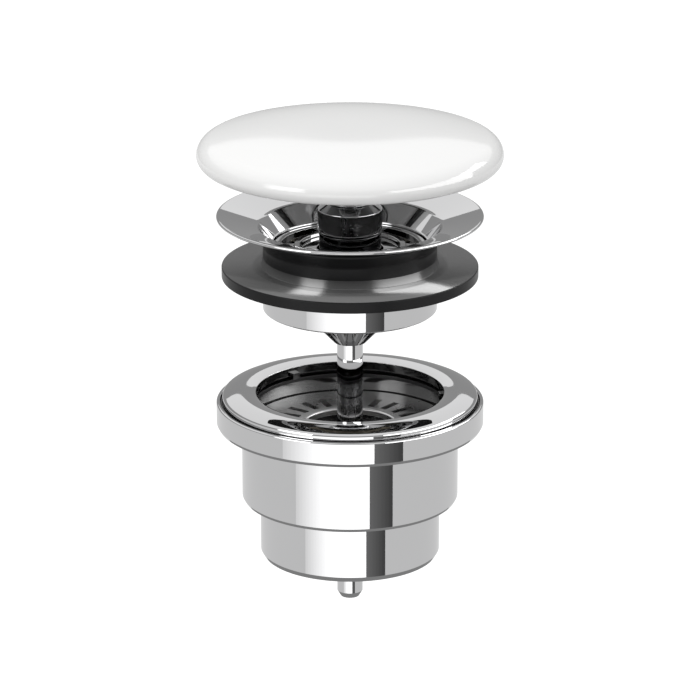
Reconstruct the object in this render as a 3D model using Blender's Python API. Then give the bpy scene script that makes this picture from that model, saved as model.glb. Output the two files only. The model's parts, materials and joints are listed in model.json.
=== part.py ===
"""Push-to-close basin waste with a ceramic cap, in metres, +Z up.

The origin lies on the axis, in the plane where the rubber washer rests on the basin floor.
The body below hangs on the central draw screw, which pulls it up against the basin from below.
Sizes are given in millimetres and turned into metres when a mesh is made.
"""

import math

import bmesh
import bpy
from mathutils import Matrix, Vector

MM = 0.001

# Clearances
SEAT_GAP = 0.3
RUN_GAP = 0.25
THREAD_GAP = 0.3

# Facets round a full turn
FINE = 36
MEDIUM = 28
SMALL = 20

# Ceramic cap, and the gap that it leaves over the rim of the flange when it is down
CAP_RADIUS = 35.1
CAP_CLOSED_GAP = 0.75
CAP_EDGE_UP = 4.0
CAP_EDGE_IN = 4.6
CAP_EDGE_DOWN = 3.0
CAP_UNDER_IN = 3.4
CAP_CROWN = 2.2
CAP_RECESS_DEPTH = 1.6

# Boss under the cap
INSERT_DISC_RADIUS = 12.0
INSERT_NECK_RADIUS = 5.2
CAP_STUD_RADIUS = 2.5
STUD_LENGTH = 7.9
INSERT_THREAD_DEPTH = 7.0

# Rubber ring under the cap, and how far the cap goes down until the ring meets the dish
SEAL_RADIUS = 22.3
SEAL_WIDTH = 1.4
SEAL_DEPTH_IN_CAP = 1.0
CAP_TRAVEL = 10.5

# Stem head and plunger
HEAD_RADIUS = 7.4
HEAD_BOTTOM_Z = 10.9
HEAD_BAND_HEIGHT = 5.2
HEAD_CONE_HEIGHT = 1.3
HEAD_BEVEL = 0.25
HEAD_WALL = 1.0
HEAD_ROOF = 1.2
PLUNGER_RADIUS = 7.15
PLUNGER_WALL = 1.15
PLUNGER_BORE_RADIUS = 5.0

# Flange
FLANGE_RADIUS = 30.76
FLANGE_TOP_Z = 14.75
RIM_THICKNESS = 0.9
DISH_ANGLE = 15.0
MOUTH_RADIUS = 21.2
THROAT_RADIUS = 18.1
THROAT_DEPTH = 4.2
LEDGE_WIDTH = 0.3
TUBE_WALL = 0.9
TUBE_LENGTH = 14.9
GRILLE_LEDGE = 1.2

# Rubber washer, its underside is the plane of the basin floor
WASHER_RADIUS = 29.56
WASHER_THICKNESS = 2.62
WASHER_BEVEL = 0.3
WASHER_RECESS = 0.6
NECK_RADIUS = 20.05
NECK_FILLET = 2.4
NECK_LIP_WIDTH = 0.9
NECK_LIP_HEIGHT = 0.5

# Chrome collar below the washer
COLLAR_RADIUS = 20.1
COLLAR_BOTTOM_Z = -7.9
COLLAR_BEVEL = 0.4
COLLAR_LIP = 0.8
COLLAR_LIP_HEIGHT = 0.6

# Strainer grille in the throat
GRILLE_TOP_Z = 7.5
GRILLE_THICKNESS = 1.6
GRILLE_RING_WIDTH = 1.6
GRILLE_HUB_OUTER_RADIUS = 12.9
GRILLE_HUB_WALL = 1.4
GRILLE_HUB_HEIGHT = 3.9
GRILLE_HUB_SEAT = 1.8
GRILLE_SPOKES = 6
GRILLE_SPOKE_WIDTH = 2.0

# Cartridge housing
HOUSING_RADIUS = 9.6
HOUSING_LIP_HEIGHT = 0.9
HOUSING_TIP_RADIUS = 3.7
HOUSING_FLOOR = 3.7
HOUSING_FLOOR_CHAMFER = 1.4
O_RING_DROP = 2.2
O_RING_SECTION = 0.5
LOCK_NUT_HEIGHT = 3.7
LOCK_NUT_FLATS = 24.0

# Core with the zigzag track, and the cam ring that runs on it
CORE_RADIUS = 4.7
CORE_BORE_RADIUS = 3.45
CORE_WEB = 0.8
CORE_WEB_HOLE_RADIUS = 2.45
CORE_BASE_RADIUS = 5.6
CORE_BASE_OVER_WEB = 0.4
CORE_FOOT_RADIUS = 6.7
CORE_FOOT_HEIGHT = 0.8
TRACK_DEPTH = 0.7
TRACK_TOP_WALL = 0.25
TRACK_LEGS = 6
CAM_PINS = 3
CAM_PIN_RADIUS = 0.7
CAM_RING_HEIGHT = 2.2
CLIP_HEIGHT = 0.5
CLIP_WIDTH = 1.2
CLIP_GROOVE = 0.5

# Return spring
SPRING_MEAN_RADIUS = 2.85
SPRING_WIRE_RADIUS = 0.3
SPRING_TURNS = 8
SPRING_STEPS_PER_TURN = 10
SPRING_SIDES = 5

# Draw screw, M6, with a low socket head
SCREW_RADIUS = 3.0
SCREW_HEAD_RADIUS = 4.6
SCREW_HEAD_HEIGHT = 2.0
SCREW_SOCKET_FLATS = 4.0
SCREW_SOCKET_DEPTH = 1.5
SCREW_TIP_Z = -79.0
SCREW_TIP_RADIUS = 2.13
SCREW_TIP_HEIGHT = 1.4
SCREW_WASHER_THICKNESS = 0.5

# Waste body, hung on the screw, its tail takes a G 1 1/4 nut
BODY_TAIL_RADIUS = 20.95
BODY_DRUM_STEP = 4.25
BODY_FLANGE_STEP = 5.85
BODY_FLANGE_TOP_Z = -30.1
BODY_FLANGE_HEIGHT = 5.87
BODY_DRUM_HEIGHT = 17.86
BODY_DRUM_WALL = 2.6
BODY_TAIL_HEIGHT = 13.93
BODY_TAIL_WALL = 2.75
BODY_TAIL_CHAMFER = 1.4
BODY_TAIL_CHAMFER_IN = 0.55
BODY_EDGE = 0.45
BODY_DRUM_EDGE = 0.7
BODY_RIM_WALL = 0.85
BODY_RECESS_DEPTH = 2.4
BODY_COUNTERBORE_WALL = 1.2
BODY_COUNTERBORE_DEPTH = 7.7
BODY_FLOOR = 3.3

# Sealing ring on the body
RING_WIDTH = 7.5
RING_SIDE_GAP = 0.8
RING_CREST_Z = -27.6
RING_CROWN = 0.5
RING_HEIGHT = 3.4
RING_EDGE = 0.9
LUG_COUNT = 3
LUG_AZIMUTH = 7.0
LUG_WIDTH = 2.0
LUG_HEIGHT = 1.5
LUG_REACH = 1.0
LUG_DROP = 1.8

# Gasket under the sealing ring
GASKET_BORE_STEP = 0.4
GASKET_THICKNESS = 0.9
GASKET_LIP = 0.3
GASKET_LIP_HEIGHT = 0.9

# Slotted strainer ring in the counterbore of the body
STRAINER_INNER_RADIUS = 10.5
STRAINER_THICKNESS = 1.5
STRAINER_SLOTS = 24
STRAINER_SLOT_WIDTH = 1.6
STRAINER_SLOT_START = 2.1
STRAINER_SLOT_LENGTH = 5.5

# Bridge in the body and its threaded bush
BRIDGE_RING_WIDTH = 3.2
BRIDGE_RING_HEIGHT = 2.5
BRIDGE_SPOKES = 3
BRIDGE_SPOKE_WIDTH = 4.0
BRIDGE_SPOKE_HEIGHT = 3.5
BRIDGE_HUB_RADIUS = 6.5
BRIDGE_HUB_HEIGHT = 7.0
BRIDGE_HUB_RISE = 5.7
BUSH_RADIUS = 4.7
BUSH_FLANGE_HEIGHT = 1.0
BUSH_LENGTH = 6.6

# Heights and radii that follow from the sizes above
DISH_SLOPE = math.tan(math.radians(DISH_ANGLE))
MOUTH_Z = FLANGE_TOP_Z - (FLANGE_RADIUS - MOUTH_RADIUS) * DISH_SLOPE
THROAT_Z = MOUTH_Z - THROAT_DEPTH
TUBE_BORE_RADIUS = THROAT_RADIUS - LEDGE_WIDTH
TUBE_RADIUS = TUBE_BORE_RADIUS + TUBE_WALL
TUBE_BOTTOM_Z = THROAT_Z - TUBE_LENGTH
THROAT_TOP_RADIUS = MOUTH_RADIUS - RIM_THICKNESS
THROAT_TOP_Z = MOUTH_Z - RIM_THICKNESS
THROAT_WALL = TUBE_RADIUS - THROAT_RADIUS
UNDER_MOUTH_RADIUS = THROAT_TOP_RADIUS + THROAT_WALL
UNDER_MOUTH_Z = FLANGE_TOP_Z - RIM_THICKNESS - (FLANGE_RADIUS - UNDER_MOUTH_RADIUS) * DISH_SLOPE
THROAT_LEAN = (THROAT_TOP_RADIUS - THROAT_RADIUS) / (THROAT_TOP_Z - THROAT_Z)
GRILLE_BOTTOM_Z = GRILLE_TOP_Z - GRILLE_THICKNESS
NECK_BORE_RADIUS = TUBE_RADIUS + SEAT_GAP
NECK_TOP_Z = UNDER_MOUTH_Z - SEAT_GAP
NECK_TOP_BORE_RADIUS = NECK_BORE_RADIUS + (NECK_TOP_Z - THROAT_Z) * THROAT_LEAN
NECK_TOP_RADIUS = NECK_TOP_BORE_RADIUS + NECK_LIP_WIDTH

CAP_UNDER_Z = FLANGE_TOP_Z + CAP_CLOSED_GAP + CAP_TRAVEL
CAP_WIDEST_Z = CAP_UNDER_Z + CAP_EDGE_DOWN
HEAD_BAND_TOP_Z = HEAD_BOTTOM_Z + HEAD_BAND_HEIGHT
HEAD_TOP_Z = HEAD_BAND_TOP_Z + HEAD_CONE_HEIGHT
HEAD_ROOF_Z = HEAD_TOP_Z - HEAD_ROOF
SEAL_INNER_RADIUS = SEAL_RADIUS - SEAL_WIDTH / 2
SEAL_OUTER_RADIUS = SEAL_RADIUS + SEAL_WIDTH / 2
SEAL_MEETS_Z = MOUTH_Z + (SEAL_OUTER_RADIUS - MOUTH_RADIUS) * DISH_SLOPE
SEAL_BOTTOM_Z = SEAL_MEETS_Z + SEAT_GAP + CAP_TRAVEL

# The cartridge stacks downwards from the roof of the head, and gives the cap its travel
PLUNGER_CAVITY_RADIUS = PLUNGER_RADIUS - PLUNGER_WALL
CORE_TOP_Z = HEAD_ROOF_Z - CAP_TRAVEL - SEAT_GAP
CAM_PIN_Z = CORE_TOP_Z - TRACK_TOP_WALL - RUN_GAP - CAM_PIN_RADIUS
CAM_RING_BOTTOM_Z = CAM_PIN_Z - CAM_RING_HEIGHT / 2
CAM_RING_TOP_Z = CAM_PIN_Z + CAM_RING_HEIGHT / 2
CLIP_TOP_Z = CAM_RING_BOTTOM_Z - SEAT_GAP
CLIP_BOTTOM_Z = CLIP_TOP_Z - CLIP_HEIGHT
CORE_BASE_TOP_Z = CLIP_BOTTOM_Z - CAP_TRAVEL - SEAT_GAP
CORE_WEB_Z = CORE_BASE_TOP_Z - CORE_BASE_OVER_WEB
SCREW_HEAD_Z = CORE_WEB_Z - SEAT_GAP - SCREW_HEAD_HEIGHT
SCREW_WASHER_Z = SCREW_HEAD_Z - SEAT_GAP - SCREW_WASHER_THICKNESS
SCREW_BORE_RADIUS = SCREW_RADIUS + THREAD_GAP
HOUSING_FLOOR_Z = SCREW_WASHER_Z - SEAT_GAP
HOUSING_BOTTOM_Z = HOUSING_FLOOR_Z - HOUSING_FLOOR
PLUNGER_BOTTOM_Z = HOUSING_FLOOR_Z + HOUSING_FLOOR_CHAMFER + SEAT_GAP + CAP_TRAVEL

# The housing hangs with its lip on the hub of the grille
HUB_BOTTOM_Z = GRILLE_TOP_Z - GRILLE_HUB_HEIGHT
HUB_SEAT_Z = HUB_BOTTOM_Z + GRILLE_HUB_SEAT
HOUSING_LIP_Z = HUB_SEAT_Z + SEAT_GAP
HOUSING_TOP_Z = HOUSING_LIP_Z + HOUSING_LIP_HEIGHT
HEAD_GUIDE_RADIUS = HEAD_RADIUS + RUN_GAP
PLUNGER_GUIDE_RADIUS = PLUNGER_RADIUS + SEAT_GAP
HEAD_GUIDE_BOTTOM_Z = HEAD_BOTTOM_Z - CAP_TRAVEL - 2 * SEAT_GAP
O_RING_Z = HEAD_GUIDE_BOTTOM_Z - O_RING_DROP

# The waste body grows outwards from its tail, and the sealing ring fits its flange
BODY_DRUM_RADIUS = BODY_TAIL_RADIUS + BODY_DRUM_STEP
BODY_FLANGE_RADIUS = BODY_DRUM_RADIUS + BODY_FLANGE_STEP
BODY_FLANGE_BOTTOM_Z = BODY_FLANGE_TOP_Z - BODY_FLANGE_HEIGHT
BODY_DRUM_BOTTOM_Z = BODY_FLANGE_BOTTOM_Z - BODY_DRUM_HEIGHT
BODY_TAIL_BOTTOM_Z = BODY_DRUM_BOTTOM_Z - BODY_TAIL_HEIGHT
BODY_RECESS_RADIUS = BODY_FLANGE_RADIUS - BODY_RIM_WALL
BODY_RECESS_Z = BODY_FLANGE_TOP_Z - BODY_RECESS_DEPTH
BODY_COUNTERBORE_RADIUS = BODY_DRUM_RADIUS - BODY_COUNTERBORE_WALL
BODY_COUNTERBORE_Z = BODY_FLANGE_TOP_Z - BODY_COUNTERBORE_DEPTH
BODY_DRUM_BORE_RADIUS = BODY_DRUM_RADIUS - BODY_DRUM_WALL
BODY_TAIL_BORE_RADIUS = BODY_TAIL_RADIUS - BODY_TAIL_WALL
BODY_FLOOR_Z = BODY_DRUM_BOTTOM_Z + BODY_FLOOR
RING_RADIUS = BODY_RECESS_RADIUS - RING_SIDE_GAP
RING_BORE_RADIUS = RING_RADIUS - RING_WIDTH
RING_BOTTOM_Z = RING_CREST_Z - RING_HEIGHT
BRIDGE_Z = BODY_FLOOR_Z + SEAT_GAP
BRIDGE_HUB_TOP_Z = BRIDGE_Z + BRIDGE_HUB_RISE


def material(name, colour, roughness, metallic):
    """One Principled material."""
    made = bpy.data.materials.new(name)
    made.use_nodes = True
    shader = made.node_tree.nodes["Principled BSDF"]
    shader.inputs["Base Color"].default_value = (*colour, 1.0)
    shader.inputs["Roughness"].default_value = roughness
    shader.inputs["Metallic"].default_value = metallic
    return made


def arc(centre, radii, start, end, steps):
    """Points of an ellipse arc in the (radius, height) plane, angles in degrees from +radius."""
    points = []
    for step in range(steps + 1):
        angle = math.radians(start + (end - start) * step / steps)
        radius = centre[0] + radii[0] * math.cos(angle)
        points.append((radius, centre[1] + radii[1] * math.sin(angle)))
    return points


def add_object(name, mesh, finish):
    """Link a mesh as an object, shade it smooth and give it its material."""
    mesh.shade_smooth()
    mesh.set_sharp_from_angle(angle=math.radians(30))
    mesh.materials.append(finish)
    made = bpy.data.objects.new(name, mesh)
    bpy.context.scene.collection.objects.link(made)
    return made


def bmesh_object(name, bm, finish):
    """Close a bmesh into an object with its faces outwards."""
    bmesh.ops.remove_doubles(bm, verts=bm.verts, dist=1e-7)
    bmesh.ops.recalc_face_normals(bm, faces=bm.faces)
    mesh = bpy.data.meshes.new(name)
    bm.to_mesh(mesh)
    bm.free()
    return add_object(name, mesh, finish)


def turned(name, profile, steps, finish):
    """Turn a closed (radius, height) outline in millimetres about the Z axis."""
    bm = bmesh.new()
    verts = [bm.verts.new((radius * MM, 0.0, height * MM)) for radius, height in profile]
    edges = []
    for index, vert in enumerate(verts):
        following = verts[(index + 1) % len(verts)]
        on_axis = vert.co.x < 1e-9 and following.co.x < 1e-9
        if not on_axis:
            edges.append(bm.edges.new((vert, following)))
    bmesh.ops.spin(bm, geom=verts + edges, cent=(0, 0, 0), axis=(0, 0, 1),
                   angle=2 * math.pi, steps=steps, use_merge=True)
    return bmesh_object(name, bm, finish)


def prism(name, outline, bottom, top, finish):
    """Extrude a flat (x, y) outline in millimetres from one height to another."""
    bm = bmesh.new()
    face = bm.faces.new([bm.verts.new((x * MM, y * MM, bottom * MM)) for x, y in outline])
    grown = bmesh.ops.extrude_face_region(bm, geom=[face])
    risen = [part for part in grown["geom"] if isinstance(part, bmesh.types.BMVert)]
    bmesh.ops.translate(bm, verts=risen, vec=(0, 0, (top - bottom) * MM))
    return bmesh_object(name, bm, finish)


def hexagon(flats):
    """Corners of a hexagon given across its flats."""
    corner = flats / 2 / math.cos(math.pi / 6)
    angles = [math.pi / 3 * side for side in range(6)]
    return [(corner * math.cos(angle), corner * math.sin(angle)) for angle in angles]


def bar(near, far, width):
    """Outline of a straight bar along +X."""
    return [(near, -width / 2), (far, -width / 2), (far, width / 2), (near, width / 2)]


def radial_bars(name, count, first_azimuth, outline, bottom, top, finish):
    """Copies of one bar spread round the axis, in one object."""
    bm = bmesh.new()
    for copy in range(count):
        turn = Matrix.Rotation(math.radians(first_azimuth + 360 * copy / count), 4, "Z")
        corners = [turn @ Vector((x * MM, y * MM, bottom * MM)) for x, y in outline]
        face = bm.faces.new([bm.verts.new(corner) for corner in corners])
        grown = bmesh.ops.extrude_face_region(bm, geom=[face])
        risen = [part for part in grown["geom"] if isinstance(part, bmesh.types.BMVert)]
        bmesh.ops.translate(bm, verts=risen, vec=(0, 0, (top - bottom) * MM))
    return bmesh_object(name, bm, finish)


def combine(target, tool, operation):
    """Add or cut a tool with a Boolean that stays on the target."""
    modifier = target.modifiers.new(tool.name, "BOOLEAN")
    modifier.operation = operation
    modifier.object = tool
    modifier.solver = "EXACT"
    tool.hide_render = True
    tool.display_type = "WIRE"


def make_ceramic_cap(finish):
    """Domed disc with a soft edge, a recess for the insert and a groove for the seal."""
    edge_top = CAP_WIDEST_Z + CAP_EDGE_UP
    crown_radius = CAP_RADIUS - CAP_EDGE_IN
    crown = []
    crown_steps = 4
    for step in range(crown_steps):
        share = step / crown_steps
        crown.append((crown_radius * share, edge_top + CAP_CROWN * (1 - share * share)))
    upper_edge = arc((crown_radius, CAP_WIDEST_Z), (CAP_EDGE_IN, CAP_EDGE_UP), 90, 0, 5)
    lower_edge = arc((CAP_RADIUS - CAP_UNDER_IN, CAP_WIDEST_Z), (CAP_UNDER_IN, CAP_EDGE_DOWN), 0, -90, 4)
    groove_top = CAP_UNDER_Z + SEAL_DEPTH_IN_CAP + SEAT_GAP
    recess_top = CAP_UNDER_Z + CAP_RECESS_DEPTH
    recess_radius = INSERT_DISC_RADIUS + SEAT_GAP
    underside = [
        (SEAL_OUTER_RADIUS + SEAT_GAP, CAP_UNDER_Z),
        (SEAL_OUTER_RADIUS + SEAT_GAP, groove_top),
        (SEAL_INNER_RADIUS - SEAT_GAP, groove_top),
        (SEAL_INNER_RADIUS - SEAT_GAP, CAP_UNDER_Z),
        (recess_radius, CAP_UNDER_Z),
        (recess_radius, recess_top),
        (0, recess_top),
    ]
    return turned("ceramic_cap", crown + upper_edge + lower_edge[1:] + underside, FINE, finish)


def make_cap_insert(finish):
    """Disc in the recess of the cap with a neck down to the stem head."""
    disc_top = CAP_UNDER_Z + CAP_RECESS_DEPTH - SEAT_GAP
    neck_bottom = HEAD_TOP_Z + SEAT_GAP
    thread_radius = CAP_STUD_RADIUS + THREAD_GAP
    thread_top = neck_bottom + INSERT_THREAD_DEPTH
    profile = [
        (0, disc_top),
        (INSERT_DISC_RADIUS, disc_top),
        (INSERT_DISC_RADIUS, CAP_UNDER_Z),
        (INSERT_NECK_RADIUS, CAP_UNDER_Z),
        (INSERT_NECK_RADIUS, neck_bottom),
        (thread_radius, neck_bottom),
        (thread_radius, thread_top),
        (0, thread_top),
    ]
    return turned("cap_insert", profile, SMALL, finish)


def make_cap_seal(finish):
    """Rubber ring in the groove of the cap."""
    top = CAP_UNDER_Z + SEAL_DEPTH_IN_CAP
    profile = [
        (SEAL_INNER_RADIUS, top),
        (SEAL_OUTER_RADIUS, top),
        (SEAL_OUTER_RADIUS, SEAL_BOTTOM_Z + SEAT_GAP),
        (SEAL_RADIUS, SEAL_BOTTOM_Z),
        (SEAL_INNER_RADIUS, SEAL_BOTTOM_Z + SEAT_GAP),
    ]
    return turned("cap_seal", profile, MEDIUM, finish)


def make_head_stud(finish):
    """Stud that screws the insert to the stem head."""
    bottom = HEAD_ROOF_Z + SEAT_GAP
    profile = [
        (0, bottom + STUD_LENGTH),
        (CAP_STUD_RADIUS, bottom + STUD_LENGTH),
        (CAP_STUD_RADIUS, bottom),
        (0, bottom),
    ]
    return turned("head_stud", profile, SMALL, finish)


def make_stem_head(finish):
    """Head with a straight band, a cone shoulder and a blind bore for the plunger neck."""
    stud_bore = CAP_STUD_RADIUS + THREAD_GAP
    bore = HEAD_RADIUS - HEAD_WALL
    profile = [
        (stud_bore, HEAD_TOP_Z),
        (INSERT_NECK_RADIUS, HEAD_TOP_Z),
        (HEAD_RADIUS - HEAD_BEVEL, HEAD_BAND_TOP_Z),
        (HEAD_RADIUS, HEAD_BAND_TOP_Z - HEAD_BEVEL),
        (HEAD_RADIUS, HEAD_BOTTOM_Z + HEAD_BEVEL),
        (HEAD_RADIUS - HEAD_BEVEL, HEAD_BOTTOM_Z),
        (bore, HEAD_BOTTOM_Z),
        (bore, HEAD_ROOF_Z),
        (stud_bore, HEAD_ROOF_Z),
    ]
    return turned("stem_head", profile, MEDIUM, finish)


def make_plunger(finish):
    """Tube under the head, its lower cavity holds the cam ring between a shoulder and a clip."""
    neck = HEAD_RADIUS - HEAD_WALL - SEAT_GAP
    shoulder = HEAD_BOTTOM_Z - SEAT_GAP
    cam_shoulder = CAM_RING_TOP_Z + SEAT_GAP
    groove = PLUNGER_CAVITY_RADIUS + CLIP_GROOVE
    profile = [
        (PLUNGER_BORE_RADIUS, HEAD_ROOF_Z - SEAT_GAP),
        (neck, HEAD_ROOF_Z - SEAT_GAP),
        (neck, shoulder),
        (PLUNGER_RADIUS, shoulder),
        (PLUNGER_RADIUS, PLUNGER_BOTTOM_Z),
        (PLUNGER_CAVITY_RADIUS, PLUNGER_BOTTOM_Z),
        (PLUNGER_CAVITY_RADIUS, CLIP_BOTTOM_Z - SEAT_GAP / 2),
        (groove, CLIP_BOTTOM_Z - SEAT_GAP / 2),
        (groove, CLIP_TOP_Z + SEAT_GAP / 2),
        (PLUNGER_CAVITY_RADIUS, CLIP_TOP_Z + SEAT_GAP / 2),
        (PLUNGER_CAVITY_RADIUS, cam_shoulder),
        (PLUNGER_BORE_RADIUS, cam_shoulder),
    ]
    return turned("plunger", profile, MEDIUM, finish)


def make_cam_clip(finish):
    """Open snap ring in the groove of the plunger."""
    outer = PLUNGER_CAVITY_RADIUS + CLIP_GROOVE - SEAT_GAP / 2
    clip = turned("cam_clip", [
        (outer - CLIP_WIDTH, CLIP_TOP_Z),
        (outer, CLIP_TOP_Z),
        (outer, CLIP_BOTTOM_Z),
        (outer - CLIP_WIDTH, CLIP_BOTTOM_Z),
    ], SMALL, finish)
    gap = prism("cam_clip_gap", bar(0, 2 * outer, CLIP_WIDTH * 2), CLIP_BOTTOM_Z - 1, CLIP_TOP_Z + 1, finish)
    combine(clip, gap, "DIFFERENCE")
    return clip


def make_cam_ring(finish):
    """Ring with inner pins that reach into the track of the core."""
    outer = PLUNGER_CAVITY_RADIUS - RUN_GAP
    inner = CORE_RADIUS + RUN_GAP
    ring = turned("cam_ring", [
        (inner, CAM_RING_TOP_Z),
        (outer, CAM_RING_TOP_Z),
        (outer, CAM_RING_BOTTOM_Z),
        (inner, CAM_RING_BOTTOM_Z),
    ], SMALL, finish)
    pin_tip = CORE_RADIUS - TRACK_DEPTH + RUN_GAP
    pin_root = (inner + outer) / 2
    bm = bmesh.new()
    for pin in range(CAM_PINS):
        azimuth = math.radians(360 * pin / CAM_PINS)
        middle = (pin_tip + pin_root) / 2 * MM
        place = Matrix.Translation((0, 0, CAM_PIN_Z * MM)) @ Matrix.Rotation(azimuth, 4, "Z")
        place = place @ Matrix.Translation((middle, 0, 0)) @ Matrix.Rotation(math.pi / 2, 4, "Y")
        bmesh.ops.create_cone(bm, cap_ends=True, segments=8, radius1=CAM_PIN_RADIUS * MM,
                              radius2=CAM_PIN_RADIUS * MM, depth=(pin_root - pin_tip) * MM, matrix=place)
    pins = bmesh_object("cam_ring_pins", bm, finish)
    combine(ring, pins, "UNION")
    return ring


def track_band(finish):
    """Zigzag band that cuts the track: straight legs up and down, clipped at the turns."""
    reach = CAM_PIN_RADIUS + RUN_GAP
    leg_angle = 2 * math.pi / TRACK_LEGS
    slope = CAP_TRAVEL / (leg_angle * CORE_RADIUS)
    half_height = reach * math.sqrt(1 + slope * slope)
    highest = CAM_PIN_Z + reach
    lowest = CAM_PIN_Z - CAP_TRAVEL - reach
    inner = CORE_RADIUS - TRACK_DEPTH
    outer = CORE_RADIUS + TRACK_DEPTH
    samples = TRACK_LEGS * 8
    bm = bmesh.new()
    rings = []
    for sample in range(samples):
        angle = 2 * math.pi * sample / samples
        leg = (angle / leg_angle) % 2
        share = leg if leg <= 1 else 2 - leg
        middle = CAM_PIN_Z - CAP_TRAVEL * share
        top = min(middle + half_height, highest)
        bottom = max(middle - half_height, lowest)
        corners = [(inner, bottom), (outer, bottom), (outer, top), (inner, top)]
        ring = []
        for radius, height in corners:
            x = radius * math.cos(angle) * MM
            y = radius * math.sin(angle) * MM
            ring.append(bm.verts.new((x, y, height * MM)))
        rings.append(ring)
    for index, ring in enumerate(rings):
        following = rings[(index + 1) % samples]
        for side in range(4):
            after = (side + 1) % 4
            bm.faces.new((ring[side], ring[after], following[after], following[side]))
    return bmesh_object("track_band", bm, finish)


def make_cartridge_core(finish):
    """Fixed core: foot on the housing floor, bell round the screw head, tube with the track."""
    foot_bottom = HOUSING_FLOOR_Z + SEAT_GAP
    foot_top = foot_bottom + CORE_FOOT_HEIGHT
    bell_bore = SCREW_HEAD_RADIUS + SEAT_GAP
    web_top = CORE_WEB_Z + CORE_WEB
    core = turned("cartridge_core", [
        (CORE_BORE_RADIUS, CORE_TOP_Z),
        (CORE_RADIUS, CORE_TOP_Z),
        (CORE_RADIUS, CORE_BASE_TOP_Z),
        (CORE_BASE_RADIUS, CORE_BASE_TOP_Z),
        (CORE_BASE_RADIUS, foot_top),
        (CORE_FOOT_RADIUS, foot_top),
        (CORE_FOOT_RADIUS - CORE_FOOT_HEIGHT, foot_bottom),
        (bell_bore, foot_bottom),
        (bell_bore, CORE_WEB_Z),
        (CORE_WEB_HOLE_RADIUS, CORE_WEB_Z),
        (CORE_WEB_HOLE_RADIUS, web_top),
        (CORE_BORE_RADIUS, web_top),
    ], MEDIUM, finish)
    combine(core, track_band(finish), "DIFFERENCE")
    return core


def make_return_spring(finish):
    """Round wire coil from the web of the core up to the roof of the head."""
    low = CORE_WEB_Z + CORE_WEB + SEAT_GAP + SPRING_WIRE_RADIUS
    high = HEAD_ROOF_Z - SEAT_GAP - SPRING_WIRE_RADIUS
    count = SPRING_TURNS * SPRING_STEPS_PER_TURN
    bm = bmesh.new()
    rings = []
    for step in range(count + 1):
        share = step / count
        angle = 2 * math.pi * SPRING_TURNS * share
        height = low + (high - low) * share
        ring = []
        for side in range(SPRING_SIDES):
            around = 2 * math.pi * side / SPRING_SIDES
            radius = SPRING_MEAN_RADIUS + SPRING_WIRE_RADIUS * math.cos(around)
            lift = SPRING_WIRE_RADIUS * math.sin(around)
            place = (radius * math.cos(angle), radius * math.sin(angle), height + lift)
            ring.append(bm.verts.new(Vector(place) * MM))
        rings.append(ring)
    for ring, following in zip(rings, rings[1:]):
        for side in range(SPRING_SIDES):
            after = (side + 1) % SPRING_SIDES
            bm.faces.new((ring[side], ring[after], following[after], following[side]))
    bm.faces.new(rings[0])
    bm.faces.new(rings[-1])
    return bmesh_object("return_spring", bm, finish)


def make_flange(finish):
    """Dished flange with a rolled rim, a conical throat, and a tube with a ledge for the grille."""
    rim = arc((FLANGE_RADIUS - RIM_THICKNESS / 2, FLANGE_TOP_Z - RIM_THICKNESS / 2),
              (RIM_THICKNESS / 2, RIM_THICKNESS / 2), 90, -90, 3)
    profile = rim + [
        (UNDER_MOUTH_RADIUS, UNDER_MOUTH_Z),
        (TUBE_RADIUS, THROAT_Z),
        (TUBE_RADIUS, TUBE_BOTTOM_Z),
        (TUBE_BORE_RADIUS - GRILLE_LEDGE, TUBE_BOTTOM_Z),
        (TUBE_BORE_RADIUS - GRILLE_LEDGE, GRILLE_BOTTOM_Z - SEAT_GAP),
        (TUBE_BORE_RADIUS, GRILLE_BOTTOM_Z - SEAT_GAP),
        (TUBE_BORE_RADIUS, THROAT_Z),
        (THROAT_RADIUS, THROAT_Z),
        (THROAT_TOP_RADIUS, THROAT_TOP_Z),
        (MOUTH_RADIUS, MOUTH_Z),
        (MOUTH_RADIUS + RIM_THICKNESS, MOUTH_Z + RIM_THICKNESS * DISH_SLOPE),
    ]
    return turned("flange", profile, FINE, finish)


def make_strainer_grille(finish):
    """Outer ring, hub with a counterbore for the housing lip, and spokes between them."""
    outer = TUBE_BORE_RADIUS - SEAT_GAP
    inner = outer - GRILLE_RING_WIDTH
    hub_wall = GRILLE_HUB_OUTER_RADIUS - GRILLE_HUB_WALL
    hub_bore = HOUSING_RADIUS + SEAT_GAP
    grille = turned("strainer_grille", [
        (hub_bore, HUB_SEAT_Z),
        (hub_wall, HUB_SEAT_Z),
        (hub_wall, GRILLE_TOP_Z),
        (GRILLE_HUB_OUTER_RADIUS, GRILLE_TOP_Z),
        (GRILLE_HUB_OUTER_RADIUS, HUB_BOTTOM_Z),
        (hub_bore, HUB_BOTTOM_Z),
    ], MEDIUM, finish)
    ring = turned("grille_ring", [
        (inner, GRILLE_TOP_Z),
        (outer, GRILLE_TOP_Z),
        (outer, GRILLE_BOTTOM_Z),
        (inner, GRILLE_BOTTOM_Z),
    ], MEDIUM, finish)
    overlap = GRILLE_HUB_WALL / 2
    outline = bar(GRILLE_HUB_OUTER_RADIUS - overlap, inner + overlap, GRILLE_SPOKE_WIDTH)
    spokes = radial_bars("grille_spokes", GRILLE_SPOKES, 0, outline,
                         GRILLE_BOTTOM_Z + SEAT_GAP / 2, GRILLE_TOP_Z - SEAT_GAP / 2, finish)
    combine(grille, spokes, "UNION")
    combine(grille, ring, "UNION")
    return grille


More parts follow.
